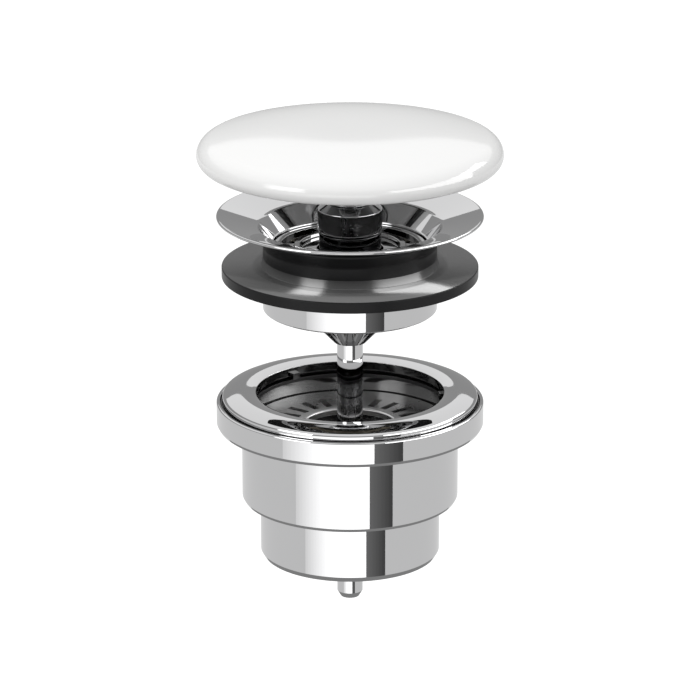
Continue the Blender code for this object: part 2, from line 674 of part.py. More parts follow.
def make_flange_washer(finish):
    """Rubber neck that flares with the throat up to the dish, and a wide rim recessed for the collar."""
    flare_bottom = NECK_TOP_Z - NECK_LIP_HEIGHT - (NECK_TOP_RADIUS - NECK_RADIUS) / THROAT_LEAN
    recess_radius = COLLAR_RADIUS + SEAT_GAP
    fillet = arc((NECK_RADIUS + NECK_FILLET, WASHER_THICKNESS + NECK_FILLET),
                 (NECK_FILLET, NECK_FILLET), 180, 270, 4)
    profile = [
        (NECK_BORE_RADIUS, THROAT_Z),
        (NECK_TOP_BORE_RADIUS, NECK_TOP_Z),
        (NECK_TOP_RADIUS, NECK_TOP_Z),
        (NECK_TOP_RADIUS, NECK_TOP_Z - NECK_LIP_HEIGHT),
        (NECK_RADIUS, flare_bottom),
    ] + fillet + [
        (WASHER_RADIUS - WASHER_BEVEL, WASHER_THICKNESS),
        (WASHER_RADIUS, WASHER_THICKNESS - WASHER_BEVEL),
        (WASHER_RADIUS, WASHER_BEVEL),
        (WASHER_RADIUS - WASHER_BEVEL, 0),
        (recess_radius, 0),
        (recess_radius, WASHER_RECESS),
        (NECK_BORE_RADIUS, WASHER_RECESS),
    ]
    return turned("flange_washer", profile, FINE, finish)


def make_lower_collar(finish):
    """Threaded collar that holds the washer on the tube from below."""
    inner = TUBE_RADIUS + THREAD_GAP
    top = WASHER_RECESS - SEAT_GAP
    lip_top = COLLAR_BOTTOM_Z + COLLAR_LIP_HEIGHT
    profile = [
        (inner, top),
        (COLLAR_RADIUS, top),
        (COLLAR_RADIUS, COLLAR_BOTTOM_Z + COLLAR_BEVEL),
        (COLLAR_RADIUS - COLLAR_BEVEL, COLLAR_BOTTOM_Z),
        (inner - COLLAR_LIP, COLLAR_BOTTOM_Z),
        (inner - COLLAR_LIP, lip_top),
        (inner, lip_top),
    ]
    return turned("lower_collar", profile, FINE, finish)


def make_cartridge_housing(finish):
    """Cup with a lip on the grille hub, two guide bores, an O-ring groove and a cone below."""
    lip_radius = GRILLE_HUB_OUTER_RADIUS - GRILLE_HUB_WALL - SEAT_GAP
    cone_top = HOUSING_BOTTOM_Z + HOUSING_RADIUS - HOUSING_TIP_RADIUS
    groove_half = O_RING_SECTION + SEAT_GAP
    groove_radius = PLUNGER_RADIUS + RUN_GAP + 2 * O_RING_SECTION + SEAT_GAP
    profile = [
        (HEAD_GUIDE_RADIUS, HOUSING_TOP_Z),
        (lip_radius, HOUSING_TOP_Z),
        (lip_radius, HOUSING_LIP_Z),
        (HOUSING_RADIUS, HOUSING_LIP_Z),
        (HOUSING_RADIUS, cone_top),
        (HOUSING_TIP_RADIUS, HOUSING_BOTTOM_Z),
        (SCREW_BORE_RADIUS, HOUSING_BOTTOM_Z),
        (SCREW_BORE_RADIUS, HOUSING_FLOOR_Z),
        (PLUNGER_GUIDE_RADIUS - HOUSING_FLOOR_CHAMFER, HOUSING_FLOOR_Z),
        (PLUNGER_GUIDE_RADIUS, HOUSING_FLOOR_Z + HOUSING_FLOOR_CHAMFER),
        (PLUNGER_GUIDE_RADIUS, O_RING_Z - groove_half),
        (groove_radius, O_RING_Z - groove_half),
        (groove_radius, O_RING_Z + groove_half),
        (PLUNGER_GUIDE_RADIUS, O_RING_Z + groove_half),
        (PLUNGER_GUIDE_RADIUS, HEAD_GUIDE_BOTTOM_Z),
        (HEAD_GUIDE_RADIUS, HEAD_GUIDE_BOTTOM_Z),
    ]
    return turned("cartridge_housing", profile, MEDIUM, finish)


def make_stem_o_ring(finish):
    """Round ring in the groove of the housing."""
    middle = PLUNGER_RADIUS + RUN_GAP + O_RING_SECTION
    profile = arc((middle, O_RING_Z), (O_RING_SECTION, O_RING_SECTION), 300, 0, 5)
    return turned("stem_o_ring", profile, SMALL, finish)


def make_housing_lock_nut(finish):
    """Hexagon nut under the grille hub."""
    top = HUB_BOTTOM_Z - SEAT_GAP
    nut = prism("housing_lock_nut", hexagon(LOCK_NUT_FLATS), top - LOCK_NUT_HEIGHT, top, finish)
    bore = turned("lock_nut_bore", [
        (0, top + 1),
        (HOUSING_RADIUS + THREAD_GAP, top + 1),
        (HOUSING_RADIUS + THREAD_GAP, top - LOCK_NUT_HEIGHT - 1),
        (0, top - LOCK_NUT_HEIGHT - 1),
    ], MEDIUM, finish)
    combine(nut, bore, "DIFFERENCE")
    return nut


def make_draw_screw(finish):
    """Long M6 screw with a low socket head and a chamfered tip."""
    head_top = SCREW_HEAD_Z + SCREW_HEAD_HEIGHT
    screw = turned("draw_screw", [
        (0, head_top),
        (SCREW_HEAD_RADIUS, head_top),
        (SCREW_HEAD_RADIUS, SCREW_HEAD_Z),
        (SCREW_RADIUS, SCREW_HEAD_Z),
        (SCREW_RADIUS, SCREW_TIP_Z + SCREW_TIP_HEIGHT),
        (SCREW_TIP_RADIUS, SCREW_TIP_Z),
        (0, SCREW_TIP_Z),
    ], SMALL, finish)
    socket = prism("screw_socket", hexagon(SCREW_SOCKET_FLATS),
                   head_top - SCREW_SOCKET_DEPTH, head_top + 1, finish)
    combine(screw, socket, "DIFFERENCE")
    return screw


def make_screw_washer(finish):
    """Thrust washer between the screw head and the housing floor."""
    top = SCREW_WASHER_Z + SCREW_WASHER_THICKNESS
    profile = [
        (SCREW_BORE_RADIUS, top),
        (SCREW_HEAD_RADIUS, top),
        (SCREW_HEAD_RADIUS, SCREW_WASHER_Z),
        (SCREW_BORE_RADIUS, SCREW_WASHER_Z),
    ]
    return turned("screw_washer", profile, SMALL, finish)


def make_sealing_ring(finish):
    """Ring with a convex top, rounded edges and three lugs in its bore."""
    middle = (RING_BORE_RADIUS + RING_RADIUS) / 2
    edge_z = RING_CREST_Z - RING_CROWN
    half_width = (RING_RADIUS - RING_BORE_RADIUS) / 2 - RING_EDGE
    crown = arc((middle, edge_z), (half_width, RING_CROWN), 180, 0, 4)
    inner_edge = arc((middle - half_width, edge_z - RING_EDGE / 2), (RING_EDGE, RING_EDGE / 2), 180, 90, 2)
    outer_edge = arc((middle + half_width, edge_z - RING_EDGE), (RING_EDGE, RING_EDGE), 90, 0, 2)
    profile = inner_edge[:-1] + crown + outer_edge[1:] + [
        (RING_RADIUS, RING_BOTTOM_Z),
        (RING_BORE_RADIUS + RING_EDGE, RING_BOTTOM_Z),
        (RING_BORE_RADIUS, RING_BOTTOM_Z + RING_EDGE),
    ]
    ring = turned("sealing_ring", profile, FINE, finish)
    lug_top = RING_CREST_Z - LUG_DROP
    outline = bar(RING_BORE_RADIUS - LUG_REACH, RING_BORE_RADIUS + RING_EDGE / 2, LUG_WIDTH)
    lugs = radial_bars("ring_lugs", LUG_COUNT, LUG_AZIMUTH, outline, lug_top - LUG_HEIGHT, lug_top, finish)
    combine(ring, lugs, "UNION")
    return ring


def make_body_gasket(finish):
    """Flat rubber ring under the sealing ring with a thin lip round its outside."""
    top = RING_BOTTOM_Z - SEAT_GAP
    bore = RING_BORE_RADIUS + GASKET_BORE_STEP
    lip_outer = BODY_RECESS_RADIUS - SEAT_GAP / 2
    profile = [
        (bore, top),
        (lip_outer - GASKET_LIP, top),
        (lip_outer - GASKET_LIP, top + GASKET_LIP_HEIGHT),
        (lip_outer, top + GASKET_LIP_HEIGHT),
        (lip_outer, top - GASKET_THICKNESS),
        (bore, top - GASKET_THICKNESS),
    ]
    return turned("body_gasket", profile, FINE, finish)


def make_waste_body(finish):
    """Flange with a recess, drum with a counterbore for the strainer, and tail."""
    profile = [
        (BODY_RECESS_RADIUS, BODY_FLANGE_TOP_Z),
        (BODY_FLANGE_RADIUS - BODY_EDGE, BODY_FLANGE_TOP_Z),
        (BODY_FLANGE_RADIUS, BODY_FLANGE_TOP_Z - BODY_EDGE),
        (BODY_FLANGE_RADIUS, BODY_FLANGE_BOTTOM_Z + BODY_EDGE),
        (BODY_FLANGE_RADIUS - BODY_EDGE, BODY_FLANGE_BOTTOM_Z),
        (BODY_DRUM_RADIUS, BODY_FLANGE_BOTTOM_Z),
        (BODY_DRUM_RADIUS, BODY_DRUM_BOTTOM_Z + BODY_DRUM_EDGE),
        (BODY_DRUM_RADIUS - BODY_DRUM_EDGE, BODY_DRUM_BOTTOM_Z),
        (BODY_TAIL_RADIUS, BODY_DRUM_BOTTOM_Z),
        (BODY_TAIL_RADIUS, BODY_TAIL_BOTTOM_Z + BODY_TAIL_CHAMFER),
        (BODY_TAIL_RADIUS - BODY_TAIL_CHAMFER_IN, BODY_TAIL_BOTTOM_Z),
        (BODY_TAIL_BORE_RADIUS, BODY_TAIL_BOTTOM_Z),
        (BODY_TAIL_BORE_RADIUS, BODY_FLOOR_Z),
        (BODY_DRUM_BORE_RADIUS, BODY_FLOOR_Z),
        (BODY_DRUM_BORE_RADIUS, BODY_COUNTERBORE_Z),
        (BODY_COUNTERBORE_RADIUS, BODY_COUNTERBORE_Z),
        (BODY_COUNTERBORE_RADIUS, BODY_RECESS_Z),
        (BODY_RECESS_RADIUS, BODY_RECESS_Z),
    ]
    return turned("waste_body", profile, FINE, finish)


def make_body_strainer(finish):
    """Flat ring with radial slots, seated in the counterbore of the body."""
    outer = BODY_COUNTERBORE_RADIUS - SEAT_GAP
    bottom = BODY_COUNTERBORE_Z + SEAT_GAP
    top = bottom + STRAINER_THICKNESS
    strainer = turned("body_strainer", [
        (STRAINER_INNER_RADIUS, top),
        (outer, top),
        (outer, bottom),
        (STRAINER_INNER_RADIUS, bottom),
    ], FINE, finish)
    slot_start = STRAINER_INNER_RADIUS + STRAINER_SLOT_START
    outline = bar(slot_start, slot_start + STRAINER_SLOT_LENGTH, STRAINER_SLOT_WIDTH)
    half_step = 180 / STRAINER_SLOTS
    slots = radial_bars("strainer_slots", STRAINER_SLOTS, half_step, outline, bottom - 1, top + 1, finish)
    combine(strainer, slots, "DIFFERENCE")
    return strainer


def make_body_bridge(finish):
    """Ring on the floor of the drum, spokes, and a hub bored for the bush."""
    ring_outer = BODY_DRUM_BORE_RADIUS - SEAT_GAP
    ring_inner = ring_outer - BRIDGE_RING_WIDTH
    hub_bottom = BRIDGE_HUB_TOP_Z - BRIDGE_HUB_HEIGHT
    bore = BUSH_RADIUS + SEAT_GAP
    bridge = turned("body_bridge", [
        (bore, BRIDGE_HUB_TOP_Z),
        (BRIDGE_HUB_RADIUS, BRIDGE_HUB_TOP_Z),
        (BRIDGE_HUB_RADIUS, hub_bottom),
        (bore, hub_bottom),
    ], SMALL, finish)
    ring = turned("bridge_ring", [
        (ring_inner, BRIDGE_Z + BRIDGE_RING_HEIGHT),
        (ring_outer, BRIDGE_Z + BRIDGE_RING_HEIGHT),
        (ring_outer, BRIDGE_Z),
        (ring_inner, BRIDGE_Z),
    ], MEDIUM, finish)
    overlap = BRIDGE_RING_WIDTH / 4
    outline = bar(BRIDGE_HUB_RADIUS - overlap, ring_inner + overlap, BRIDGE_SPOKE_WIDTH)
    spokes = radial_bars("bridge_spokes", BRIDGE_SPOKES, 90, outline,
                         BRIDGE_Z + SEAT_GAP, BRIDGE_Z + BRIDGE_SPOKE_HEIGHT, finish)
    combine(bridge, spokes, "UNION")
    combine(bridge, ring, "UNION")
    return bridge


def make_bridge_bush(finish):
    """Flanged threaded bush in the hub of the bridge."""
    flange_bottom = BRIDGE_HUB_TOP_Z + SEAT_GAP
    flange_top = flange_bottom + BUSH_FLANGE_HEIGHT
    profile = [
        (SCREW_BORE_RADIUS, flange_top),
        (BRIDGE_HUB_RADIUS - SEAT_GAP, flange_top),
        (BRIDGE_HUB_RADIUS - SEAT_GAP, flange_bottom),
        (BUSH_RADIUS, flange_bottom),
        (BUSH_RADIUS, flange_bottom - BUSH_LENGTH),
        (SCREW_BORE_RADIUS, flange_bottom - BUSH_LENGTH),
    ]
    return turned("bridge_bush", profile, SMALL, finish)


def carrier(name, height, pieces, parent=None):
    """Empty on the axis that carries the pieces of one moving body."""
    empty = bpy.data.objects.new(name, None)
    empty.location = (0, 0, height * MM)
    bpy.context.scene.collection.objects.link(empty)
    if parent is not None:
        empty.parent = parent
        empty.location.z -= parent.location.z
    bpy.context.view_layer.update()
    for piece in pieces:
        piece.parent = empty
        piece.matrix_parent_inverse = empty.matrix_world.inverted()
    return empty


def main():
    """Clear the scene and build the waste."""
    for old in list(bpy.data.objects):
        bpy.data.objects.remove(old, do_unlink=True)

    ceramic = material("white_ceramic", (0.86, 0.86, 0.85), 0.12, 0.0)
    chrome = material("polished_chrome", (0.62, 0.63, 0.64), 0.05, 1.0)
    dark_chrome = material("dark_chrome", (0.2, 0.2, 0.21), 0.12, 1.0)
    rubber = material("black_rubber", (0.035, 0.035, 0.037), 0.55, 0.0)
    brass = material("brass", (0.72, 0.53, 0.25), 0.3, 1.0)
    steel = material("spring_steel", (0.5, 0.5, 0.5), 0.25, 1.0)
    plastic = material("grey_acetal", (0.55, 0.56, 0.57), 0.4, 0.0)

    make_flange(chrome)
    make_strainer_grille(chrome)
    make_flange_washer(rubber)
    make_lower_collar(chrome)
    make_cartridge_housing(chrome)
    make_stem_o_ring(rubber)
    make_housing_lock_nut(brass)
    make_cartridge_core(plastic)
    make_return_spring(steel)
    make_screw_washer(plastic)

    cap_pieces = [
        make_ceramic_cap(ceramic),
        make_cap_insert(chrome),
        make_cap_seal(rubber),
        make_head_stud(steel),
        make_stem_head(chrome),
        make_plunger(dark_chrome),
        make_cam_clip(steel),
    ]
    cap_carrier = carrier("cap_carrier", HEAD_BOTTOM_Z, cap_pieces)
    carrier("cam_carrier", CAM_PIN_Z, [make_cam_ring(plastic)], cap_carrier)
    carrier("screw_carrier", SCREW_HEAD_Z, [make_draw_screw(chrome)])
    carrier("body_carrier", BODY_FLANGE_TOP_Z, [
        make_sealing_ring(chrome),
        make_body_gasket(rubber),
        make_waste_body(chrome),
        make_body_strainer(chrome),
        make_body_bridge(chrome),
        make_bridge_bush(brass),
    ])


main()
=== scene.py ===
"""Push-to-close basin waste with a ceramic cap: fine pieces, finishes, studio and camera."""

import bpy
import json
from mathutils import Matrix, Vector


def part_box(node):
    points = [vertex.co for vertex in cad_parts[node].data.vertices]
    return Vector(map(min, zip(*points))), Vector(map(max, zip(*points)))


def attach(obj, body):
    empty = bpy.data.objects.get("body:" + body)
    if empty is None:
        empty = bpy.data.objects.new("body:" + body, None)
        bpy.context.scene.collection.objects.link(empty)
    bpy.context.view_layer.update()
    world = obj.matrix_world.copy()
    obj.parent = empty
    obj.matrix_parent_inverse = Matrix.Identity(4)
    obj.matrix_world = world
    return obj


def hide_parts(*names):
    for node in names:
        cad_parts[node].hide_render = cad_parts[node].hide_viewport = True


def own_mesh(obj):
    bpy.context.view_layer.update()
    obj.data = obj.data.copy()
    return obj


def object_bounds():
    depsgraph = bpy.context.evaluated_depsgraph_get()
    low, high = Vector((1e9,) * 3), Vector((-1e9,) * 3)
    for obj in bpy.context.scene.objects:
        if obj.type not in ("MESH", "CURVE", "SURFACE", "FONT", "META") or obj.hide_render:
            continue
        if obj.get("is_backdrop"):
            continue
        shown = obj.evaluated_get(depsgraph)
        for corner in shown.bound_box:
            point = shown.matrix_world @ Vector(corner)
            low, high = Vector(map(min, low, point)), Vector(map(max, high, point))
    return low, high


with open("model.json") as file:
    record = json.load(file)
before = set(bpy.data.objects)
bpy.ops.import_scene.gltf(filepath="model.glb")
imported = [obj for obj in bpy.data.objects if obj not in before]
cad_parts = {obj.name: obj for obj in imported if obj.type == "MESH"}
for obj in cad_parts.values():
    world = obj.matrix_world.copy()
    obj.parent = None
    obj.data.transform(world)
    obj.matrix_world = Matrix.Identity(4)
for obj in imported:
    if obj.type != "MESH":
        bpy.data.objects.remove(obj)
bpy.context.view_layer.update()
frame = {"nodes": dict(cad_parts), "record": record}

import json
import math

import bmesh
import bpy
from bpy.props import (
    FloatProperty,
    FloatVectorProperty,
    IntProperty,
    PointerProperty,
)
from mathutils import Vector

bl_info = {
    "name": "Basin waste",
    "version": (1, 0, 0),
    "blender": (4, 5, 0),
    "location": "3D View > Sidebar > Waste",
    "description": "Makes the pieces of a push-to-close basin waste and its studio",
    "category": "Add Mesh",
}

# Fall of the dish in degrees, and the power of the radius by which the cap's dome falls
DISH_ANGLE = 15.0
DOME_POWER = 3.4

# Straight steps in the outlines of the cap's dome and of the sealing ring's crown
DOME_STEPS = 40
CROWN_STEPS = 20

# Lengths in metres that several pieces share
SEAT_GAP = 0.0003
SEAL_WIDTH = 0.0014
STUD_BORE = 0.0028
GRILLE_RING = 0.0016

# How near points are welded, and how far cutters and masks run past a piece
WELD = 0.000001
OVERRUN = 0.001

# Roughness that the bore of a plated piece has over that of its outside
BORE_ROUGHNESS = 0.06

# How far up a face must look to count as the flat of the washer's rim
RIM_FACING = 0.7

# Radii on small edges, from the sharpest
FINE = 0.0001
CRISP = 0.00015
EASED = 0.0002


# Sizes, finishes and light that a user would change


def length(label, text, default, top=0.1):
    """Length property in metres."""
    return FloatProperty(name=label, description=text, default=default, min=0.0, max=top,
                         subtype="DISTANCE", unit="LENGTH", precision=5)


def colour(label, text, default):
    """Colour property."""
    return FloatVectorProperty(name=label, description=text, default=default, size=3,
                               min=0.0, max=1.0, subtype="COLOR")


def share(label, text, default, top=1.0):
    """Plain number property."""
    return FloatProperty(name=label, description=text, default=default, min=0.0, max=top)


class WasteSizes(bpy.types.PropertyGroup):
    """Sizes of the turned and slotted pieces."""

    facets: IntProperty(name="Facets", description="Facets round a full turn", default=192,
                        min=24, max=512)
    soft_edge: length("Soft edge", "Radius on the edges of plated pieces", 0.00022)
    cap_edge_up: length("Cap edge up", "Height of the cap's upper edge curve", 0.0040)
    cap_edge_in: length("Cap edge in", "Depth of the cap's upper edge curve", 0.0046)
    cap_edge_down: length("Cap edge down", "Height of the cap's lower edge curve", 0.0030)
    cap_under_in: length("Cap under in", "Depth of the cap's lower edge curve", 0.0034)
    recess_depth: length("Recess depth", "Recess for the insert under the cap", 0.0016)
    insert_neck: length("Insert neck", "Radius of the insert's neck", 0.0052)
    head_edge: length("Head edge", "Radius between the band of the head and its shoulder", CRISP)
    head_foot: length("Head foot", "Radius at the foot of the head", 0.0004)
    rim_thickness: length("Rim thickness", "Thickness of the flange's rolled rim", 0.0009)
    mouth_radius: length("Mouth radius", "Radius where the dish turns into the throat", 0.0212)
    mouth_roll: length("Mouth roll", "Radius of the lip between dish and throat", 0.0013)
    throat_radius: length("Throat radius", "Radius at the foot of the throat", 0.0181)
    throat_depth: length("Throat depth", "Height of the conical throat", 0.0042)
    washer_rim: length("Washer rim", "Thickness of the washer's flat rim", 0.00262)
    neck_radius: length("Neck radius", "Radius of the washer's neck", 0.02005)
    neck_fillet: length("Neck fillet", "Fillet between the washer's neck and rim", 0.0026)
    rod_radius: length("Rod radius", "Radius of the draw screw", 0.0030)
    ring_crown: length("Ring crown", "Rise of the sealing ring's top over its reach", 0.0008)
    ring_peak: length("Ring peak", "Radius at which the sealing ring's top is highest", 0.0250)
    ring_reach: length("Ring reach", "Distance over which the sealing ring's top falls by its rise", 0.0042)
    ring_edge: length("Ring edge", "Radius of the sealing ring's outer edge", 0.0009)
    ring_shoulder: length("Ring shoulder", "Radius of the sealing ring's outer shoulder", 0.0009)
    ring_overhang: length("Ring overhang", "How far the sealing ring reaches over the gasket's lip", 0.00028)
    lug_width: length("Lug width", "Width of a lug in the bore of the sealing ring", 0.0020)
    neck_lip: length("Neck lip", "Width of the lip that the neck turns out to under the dish", 0.0009)
    body_wall: length("Body wall", "Wall of the body round the strainer", 0.0012)
    slots: IntProperty(name="Slots", description="Slots in the strainer of the body", default=24,
                       min=3, max=90)
    slot_width: length("Slot width", "Width of a slot in the strainer of the body", 0.0016)
    slot_length: length("Slot length", "Length of a slot in the strainer of the body", 0.0055)
    grille_spokes: IntProperty(name="Grille spokes", description="Spokes of the upper grille", default=6,
                               min=3, max=24)


class WasteFinishes(bpy.types.PropertyGroup):
    """Colours and gloss of the finishes."""

    ceramic: colour("Ceramic", "Glazed ceramic of the cap", (0.86, 0.86, 0.855))
    ceramic_gloss: share("Ceramic roughness", "Roughness of the glaze", 0.10)
    chrome: colour("Chrome", "Polished plate", (0.62, 0.62, 0.625))
    chrome_gloss: share("Chrome roughness", "Roughness of the polished plate", 0.025)
    # Bore and tube bore are painted shade: darker tones mixed into the plate inside the bores, where shade
    # falls
    bore: colour("Bore", "Unpolished plate inside the body", (0.14, 0.14, 0.14))
    tube_bore_shade: colour("Tube bore", "Plate inside the tube of the flange", (0.26, 0.26, 0.26))
    grille: colour("Grille", "Plate of the grille in the throat", (0.38, 0.38, 0.38))
    inner_plate: colour("Inner plate", "Duller plate inside the body", (0.62, 0.62, 0.62))
    dark_chrome: colour("Dark chrome", "Plate on the plunger", (0.17, 0.17, 0.175))
    rubber: colour("Rubber", "Moulded rubber", (0.012, 0.012, 0.0125))
    # Painted light: a paler colour mixed into the washer's rim and neck foot, where they catch light
    rubber_painted_light: colour("Rubber painted light", "Painted pale light on the upper side of the washer", (0.07, 0.07, 0.07))
    cap_rubber: colour("Cap rubber", "Rubber ring under the cap", (0.09, 0.09, 0.09))
    rubber_gloss: share("Rubber roughness", "Roughness of the moulded rubber", 0.30)
    brass: colour("Brass", "Turned brass", (0.32, 0.29, 0.23))
    steel: colour("Steel", "Spring and bright steel", (0.5, 0.5, 0.5))
    acetal: colour("Acetal", "Moulded acetal", (0.55, 0.56, 0.57))


class WasteStudio(bpy.types.PropertyGroup):
    """Light, cards and camera."""

    world_light: share("World light", "Even light on all surfaces", 0.93, 4.0)
    key_power: share("Key power", "Power of the soft lamp over the cap in watts", 5.0, 100.0)
    wall_tone: share("Wall tone", "Tone of the far wall in reflections", 0.36)
    floor_tone: share("Floor tone", "Tone of the floor in reflections", 0.78)
    white_card: share("White card", "Strength of the white card before the part", 1.9, 20.0)
    dark_card: share("Dark card", "Tone of the dark card beside the white one", 0.12)
    underside_tone: share("Underside tone", "Tone right under the part in reflections", 0.3)
    window_left: share("Left window", "Strength of the soft box on the left", 5.0, 20.0)
    window_right: share("Right window", "Strength of the soft box on the right", 5.0, 20.0)
    floor_drop: length("Floor drop", "Height of the part over the floor", 0.25, 1.0)
    lens: FloatProperty(name="Lens", description="Focal length for a 36 mm wide sensor in millimetres",
                        default=205.714, min=20.0, max=600.0)


# Outlines, as (radius, height) points in metres


def arc(centre, radii, start, end, steps):
    """Points of an ellipse arc, angles in degrees from +radius."""
    points = []
    for step in range(steps + 1):
        angle = math.radians(start + (end - start) * step / steps)
        points.append((centre[0] + radii[0] * math.cos(angle), centre[1] + radii[1] * math.sin(angle)))
    return points


def softened(corners, closed=True, arc_step=15):
    """Round the corners that give a radius, with a narrow flat beside each rounding."""
    points = []
    count = len(corners)
    margin = 0.00003
    for index, corner in enumerate(corners):
        here = Vector(corner[:2])
        radius = corner[2] if len(corner) > 2 else 0.0
        at_end = not closed and index in (0, count - 1)
        if radius <= 0.0 or at_end:
            points.append(tuple(here))
            continue
        before = Vector(corners[index - 1][:2]) - here
        after = Vector(corners[(index + 1) % count][:2]) - here
        room = 0.45 * min(before.length, after.length)
        before.normalize()
        after.normalize()
        half = before.angle(after) / 2
        cut = min(radius / math.tan(half), room)
        radius = cut * math.tan(half)
        centre = here + (before + after).normalized() * (radius / math.sin(half))
        first = here + before * cut - centre
        last = here + after * cut - centre
        sweep = first.angle(last)
        steps = max(2, math.ceil(math.degrees(sweep) / arc_step))
        if cut + margin < room * 2:
            points.append(tuple(here + before * (cut + margin)))
        for step in range(steps + 1):
            turn = sweep * step / steps
            spoke = (first * math.sin(sweep - turn) + last * math.sin(turn)) / math.sin(sweep)
            points.append(tuple(centre + spoke))
        if cut + margin < room * 2:
            points.append(tuple(here + after * (cut + margin)))
    return points


def radius_of(node):
    """Largest radius of a CAD node along +X."""
    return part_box(node)[1][0]


def foot_of(node):
    """Lowest height of a CAD node."""
    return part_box(node)[0][2]


def top_of(node):
    """Highest height of a CAD node."""
    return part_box(node)[1][2]


def extent(node):
    """Largest radius, foot and top of a CAD node."""
    return radius_of(node), foot_of(node), top_of(node)


def ring_outline(inner, outer, foot, top, upper, lower=None):
    """Outline of a plain ring with its upper and lower edges rounded."""
    lower = upper if lower is None else lower
    return softened([(inner, top, upper), (outer, top, upper), (outer, foot, lower), (inner, foot, lower)])


# Nodes and objects


def feed(tree, node, inputs):
    """Link the inputs of a node to sockets, or set them to plain values."""
    for label, value in inputs.items():
        if isinstance(value, bpy.types.NodeSocket):
            tree.links.new(value, node.inputs[label])
        else:
            node.inputs[label].default_value = value
    return node


def add_node(tree, kind, inputs, **settings):
    """Node with its settings made and its inputs fed."""
    node = tree.nodes.new(kind)
    for label, value in settings.items():
        setattr(node, label, value)
    return feed(tree, node, inputs)


def made(tree, kind, inputs, **settings):
    """First output in use of a new node."""
    return next(socket for socket in add_node(tree, kind, inputs, **settings).outputs if socket.enabled)


def labelled(values):
    """Values by the labels of a tree's inputs."""
    return {label.replace("_", " ").capitalize(): value for label, value in values.items()}


def math_node(tree, operation, first, second):
    """Math node whose inputs are sockets or plain numbers."""
    return made(tree, "ShaderNodeMath", {0: first, 1: second}, operation=operation)


def vector_node(tree, x, y, z):
    """Combine XYZ node whose inputs are sockets or plain numbers."""
    return made(tree, "ShaderNodeCombineXYZ", {"X": x, "Y": y, "Z": z})


def add_object(name, data):
    """Object linked to the scene."""
    item = bpy.data.objects.new(name, data)
    bpy.context.scene.collection.objects.link(item)
    return item


# Geometry node trees


def new_tree(name, inputs):
    """Tree with a geometry and a finish socket and the named number inputs."""
    tree = bpy.data.node_groups.new(name, "GeometryNodeTree")
    tree.interface.new_socket("Geometry", in_out="INPUT", socket_type="NodeSocketGeometry")
    for label, kind, value in inputs:
        socket = tree.interface.new_socket(label, in_out="INPUT", socket_type="NodeSocket" + kind)
        socket.default_value = value
    tree.interface.new_socket("Finish", in_out="INPUT", socket_type="NodeSocketMaterial")
    tree.interface.new_socket("Geometry", in_out="OUTPUT", socket_type="NodeSocketGeometry")
    return tree, tree.nodes.new("NodeGroupInput").outputs, tree.nodes.new("NodeGroupOutput")


def finish_tree(tree, value, leave, last):
    """End a tree in Realize Instances and Set Material."""
    realize = made(tree, "GeometryNodeRealizeInstances", {"Geometry": last})
    paint = made(tree, "GeometryNodeSetMaterial", {"Geometry": realize, "Material": value["Finish"]})
    feed(tree, leave, {"Geometry": paint})
    return tree


def turned_tree():
    """Turn an outline drawn in the XY plane, radius along X and height along Y, about the Z axis."""
    tree, value, leave = new_tree("Turned part", [
        ("Facets", "Int", 128),
        ("Guide radius", "Float", 0.001),
    ])
    back = math_node(tree, "MULTIPLY", value["Guide radius"], -1.0)
    place = made(tree, "GeometryNodeTransform", {
        "Geometry": value["Geometry"], "Translation": vector_node(tree, back, 0.0, 0.0),
        "Scale": (1.0, -1.0, 1.0)})
    outline = made(tree, "GeometryNodeMeshToCurve", {"Mesh": place})
    guide = made(tree, "GeometryNodeCurvePrimitiveCircle", {
        "Resolution": value["Facets"], "Radius": value["Guide radius"]})
    upright = made(tree, "GeometryNodeSetCurveNormal", {"Curve": guide}, mode="Z_UP")
    sweep = made(tree, "GeometryNodeCurveToMesh", {"Curve": upright, "Profile Curve": outline})
    weld = made(tree, "GeometryNodeMergeByDistance", {"Geometry": sweep, "Distance": WELD})
    return finish_tree(tree, value, leave, weld)


def bars_tree():
    """Spread bars round the axis, and join them to the incoming mesh or cut it with them."""
    tree, value, leave = new_tree("Ring of bars", [
        ("Count", "Int", 6),
        ("First angle", "Float", 0.0),
        ("Inner radius", "Float", 0.01),
        ("Outer radius", "Float", 0.02),
        ("Width", "Float", 0.002),
        ("Bottom", "Float", 0.0),
        ("Top", "Float", 0.001),
        ("Cut", "Bool", False),
    ])
    spans = [(value["Outer radius"], value["Inner radius"]), (value["Top"], value["Bottom"])]
    reach, height = [math_node(tree, "SUBTRACT", high, low) for high, low in spans]
    middle, level = [math_node(tree, "MULTIPLY", math_node(tree, "ADD", high, low), 0.5)
                     for high, low in spans]
    bar = made(tree, "GeometryNodeMeshCube", {"Size": vector_node(tree, reach, value["Width"], height)})
    place = made(tree, "GeometryNodeTransform", {
        "Geometry": bar, "Translation": vector_node(tree, middle, 0.0, level)})
    points = made(tree, "GeometryNodePoints", {"Count": value["Count"]})
    index = tree.nodes.new("GeometryNodeInputIndex").outputs["Index"]
    step = math_node(tree, "DIVIDE", 2 * math.pi, value["Count"])
    angle = math_node(tree, "ADD", math_node(tree, "MULTIPLY", index, step), value["First angle"])
    around = made(tree, "GeometryNodeInstanceOnPoints", {
        "Points": points, "Instance": place, "Rotation": vector_node(tree, 0.0, 0.0, angle)})
    bars = made(tree, "GeometryNodeRealizeInstances", {"Geometry": around})
    joined = add_node(tree, "GeometryNodeMeshBoolean", {"Mesh 2": value["Geometry"]},
                      operation="UNION", solver="EXACT")
    feed(tree, joined, {"Mesh 2": bars})
    cut = made(tree, "GeometryNodeMeshBoolean", {"Mesh 1": value["Geometry"], "Mesh 2": bars},
               operation="DIFFERENCE", solver="EXACT")
    choice = made(tree, "GeometryNodeSwitch", {
        "Switch": value["Cut"], "False": joined.outputs["Mesh"], "True": cut}, input_type="GEOMETRY")
    return finish_tree(tree, value, leave, choice)


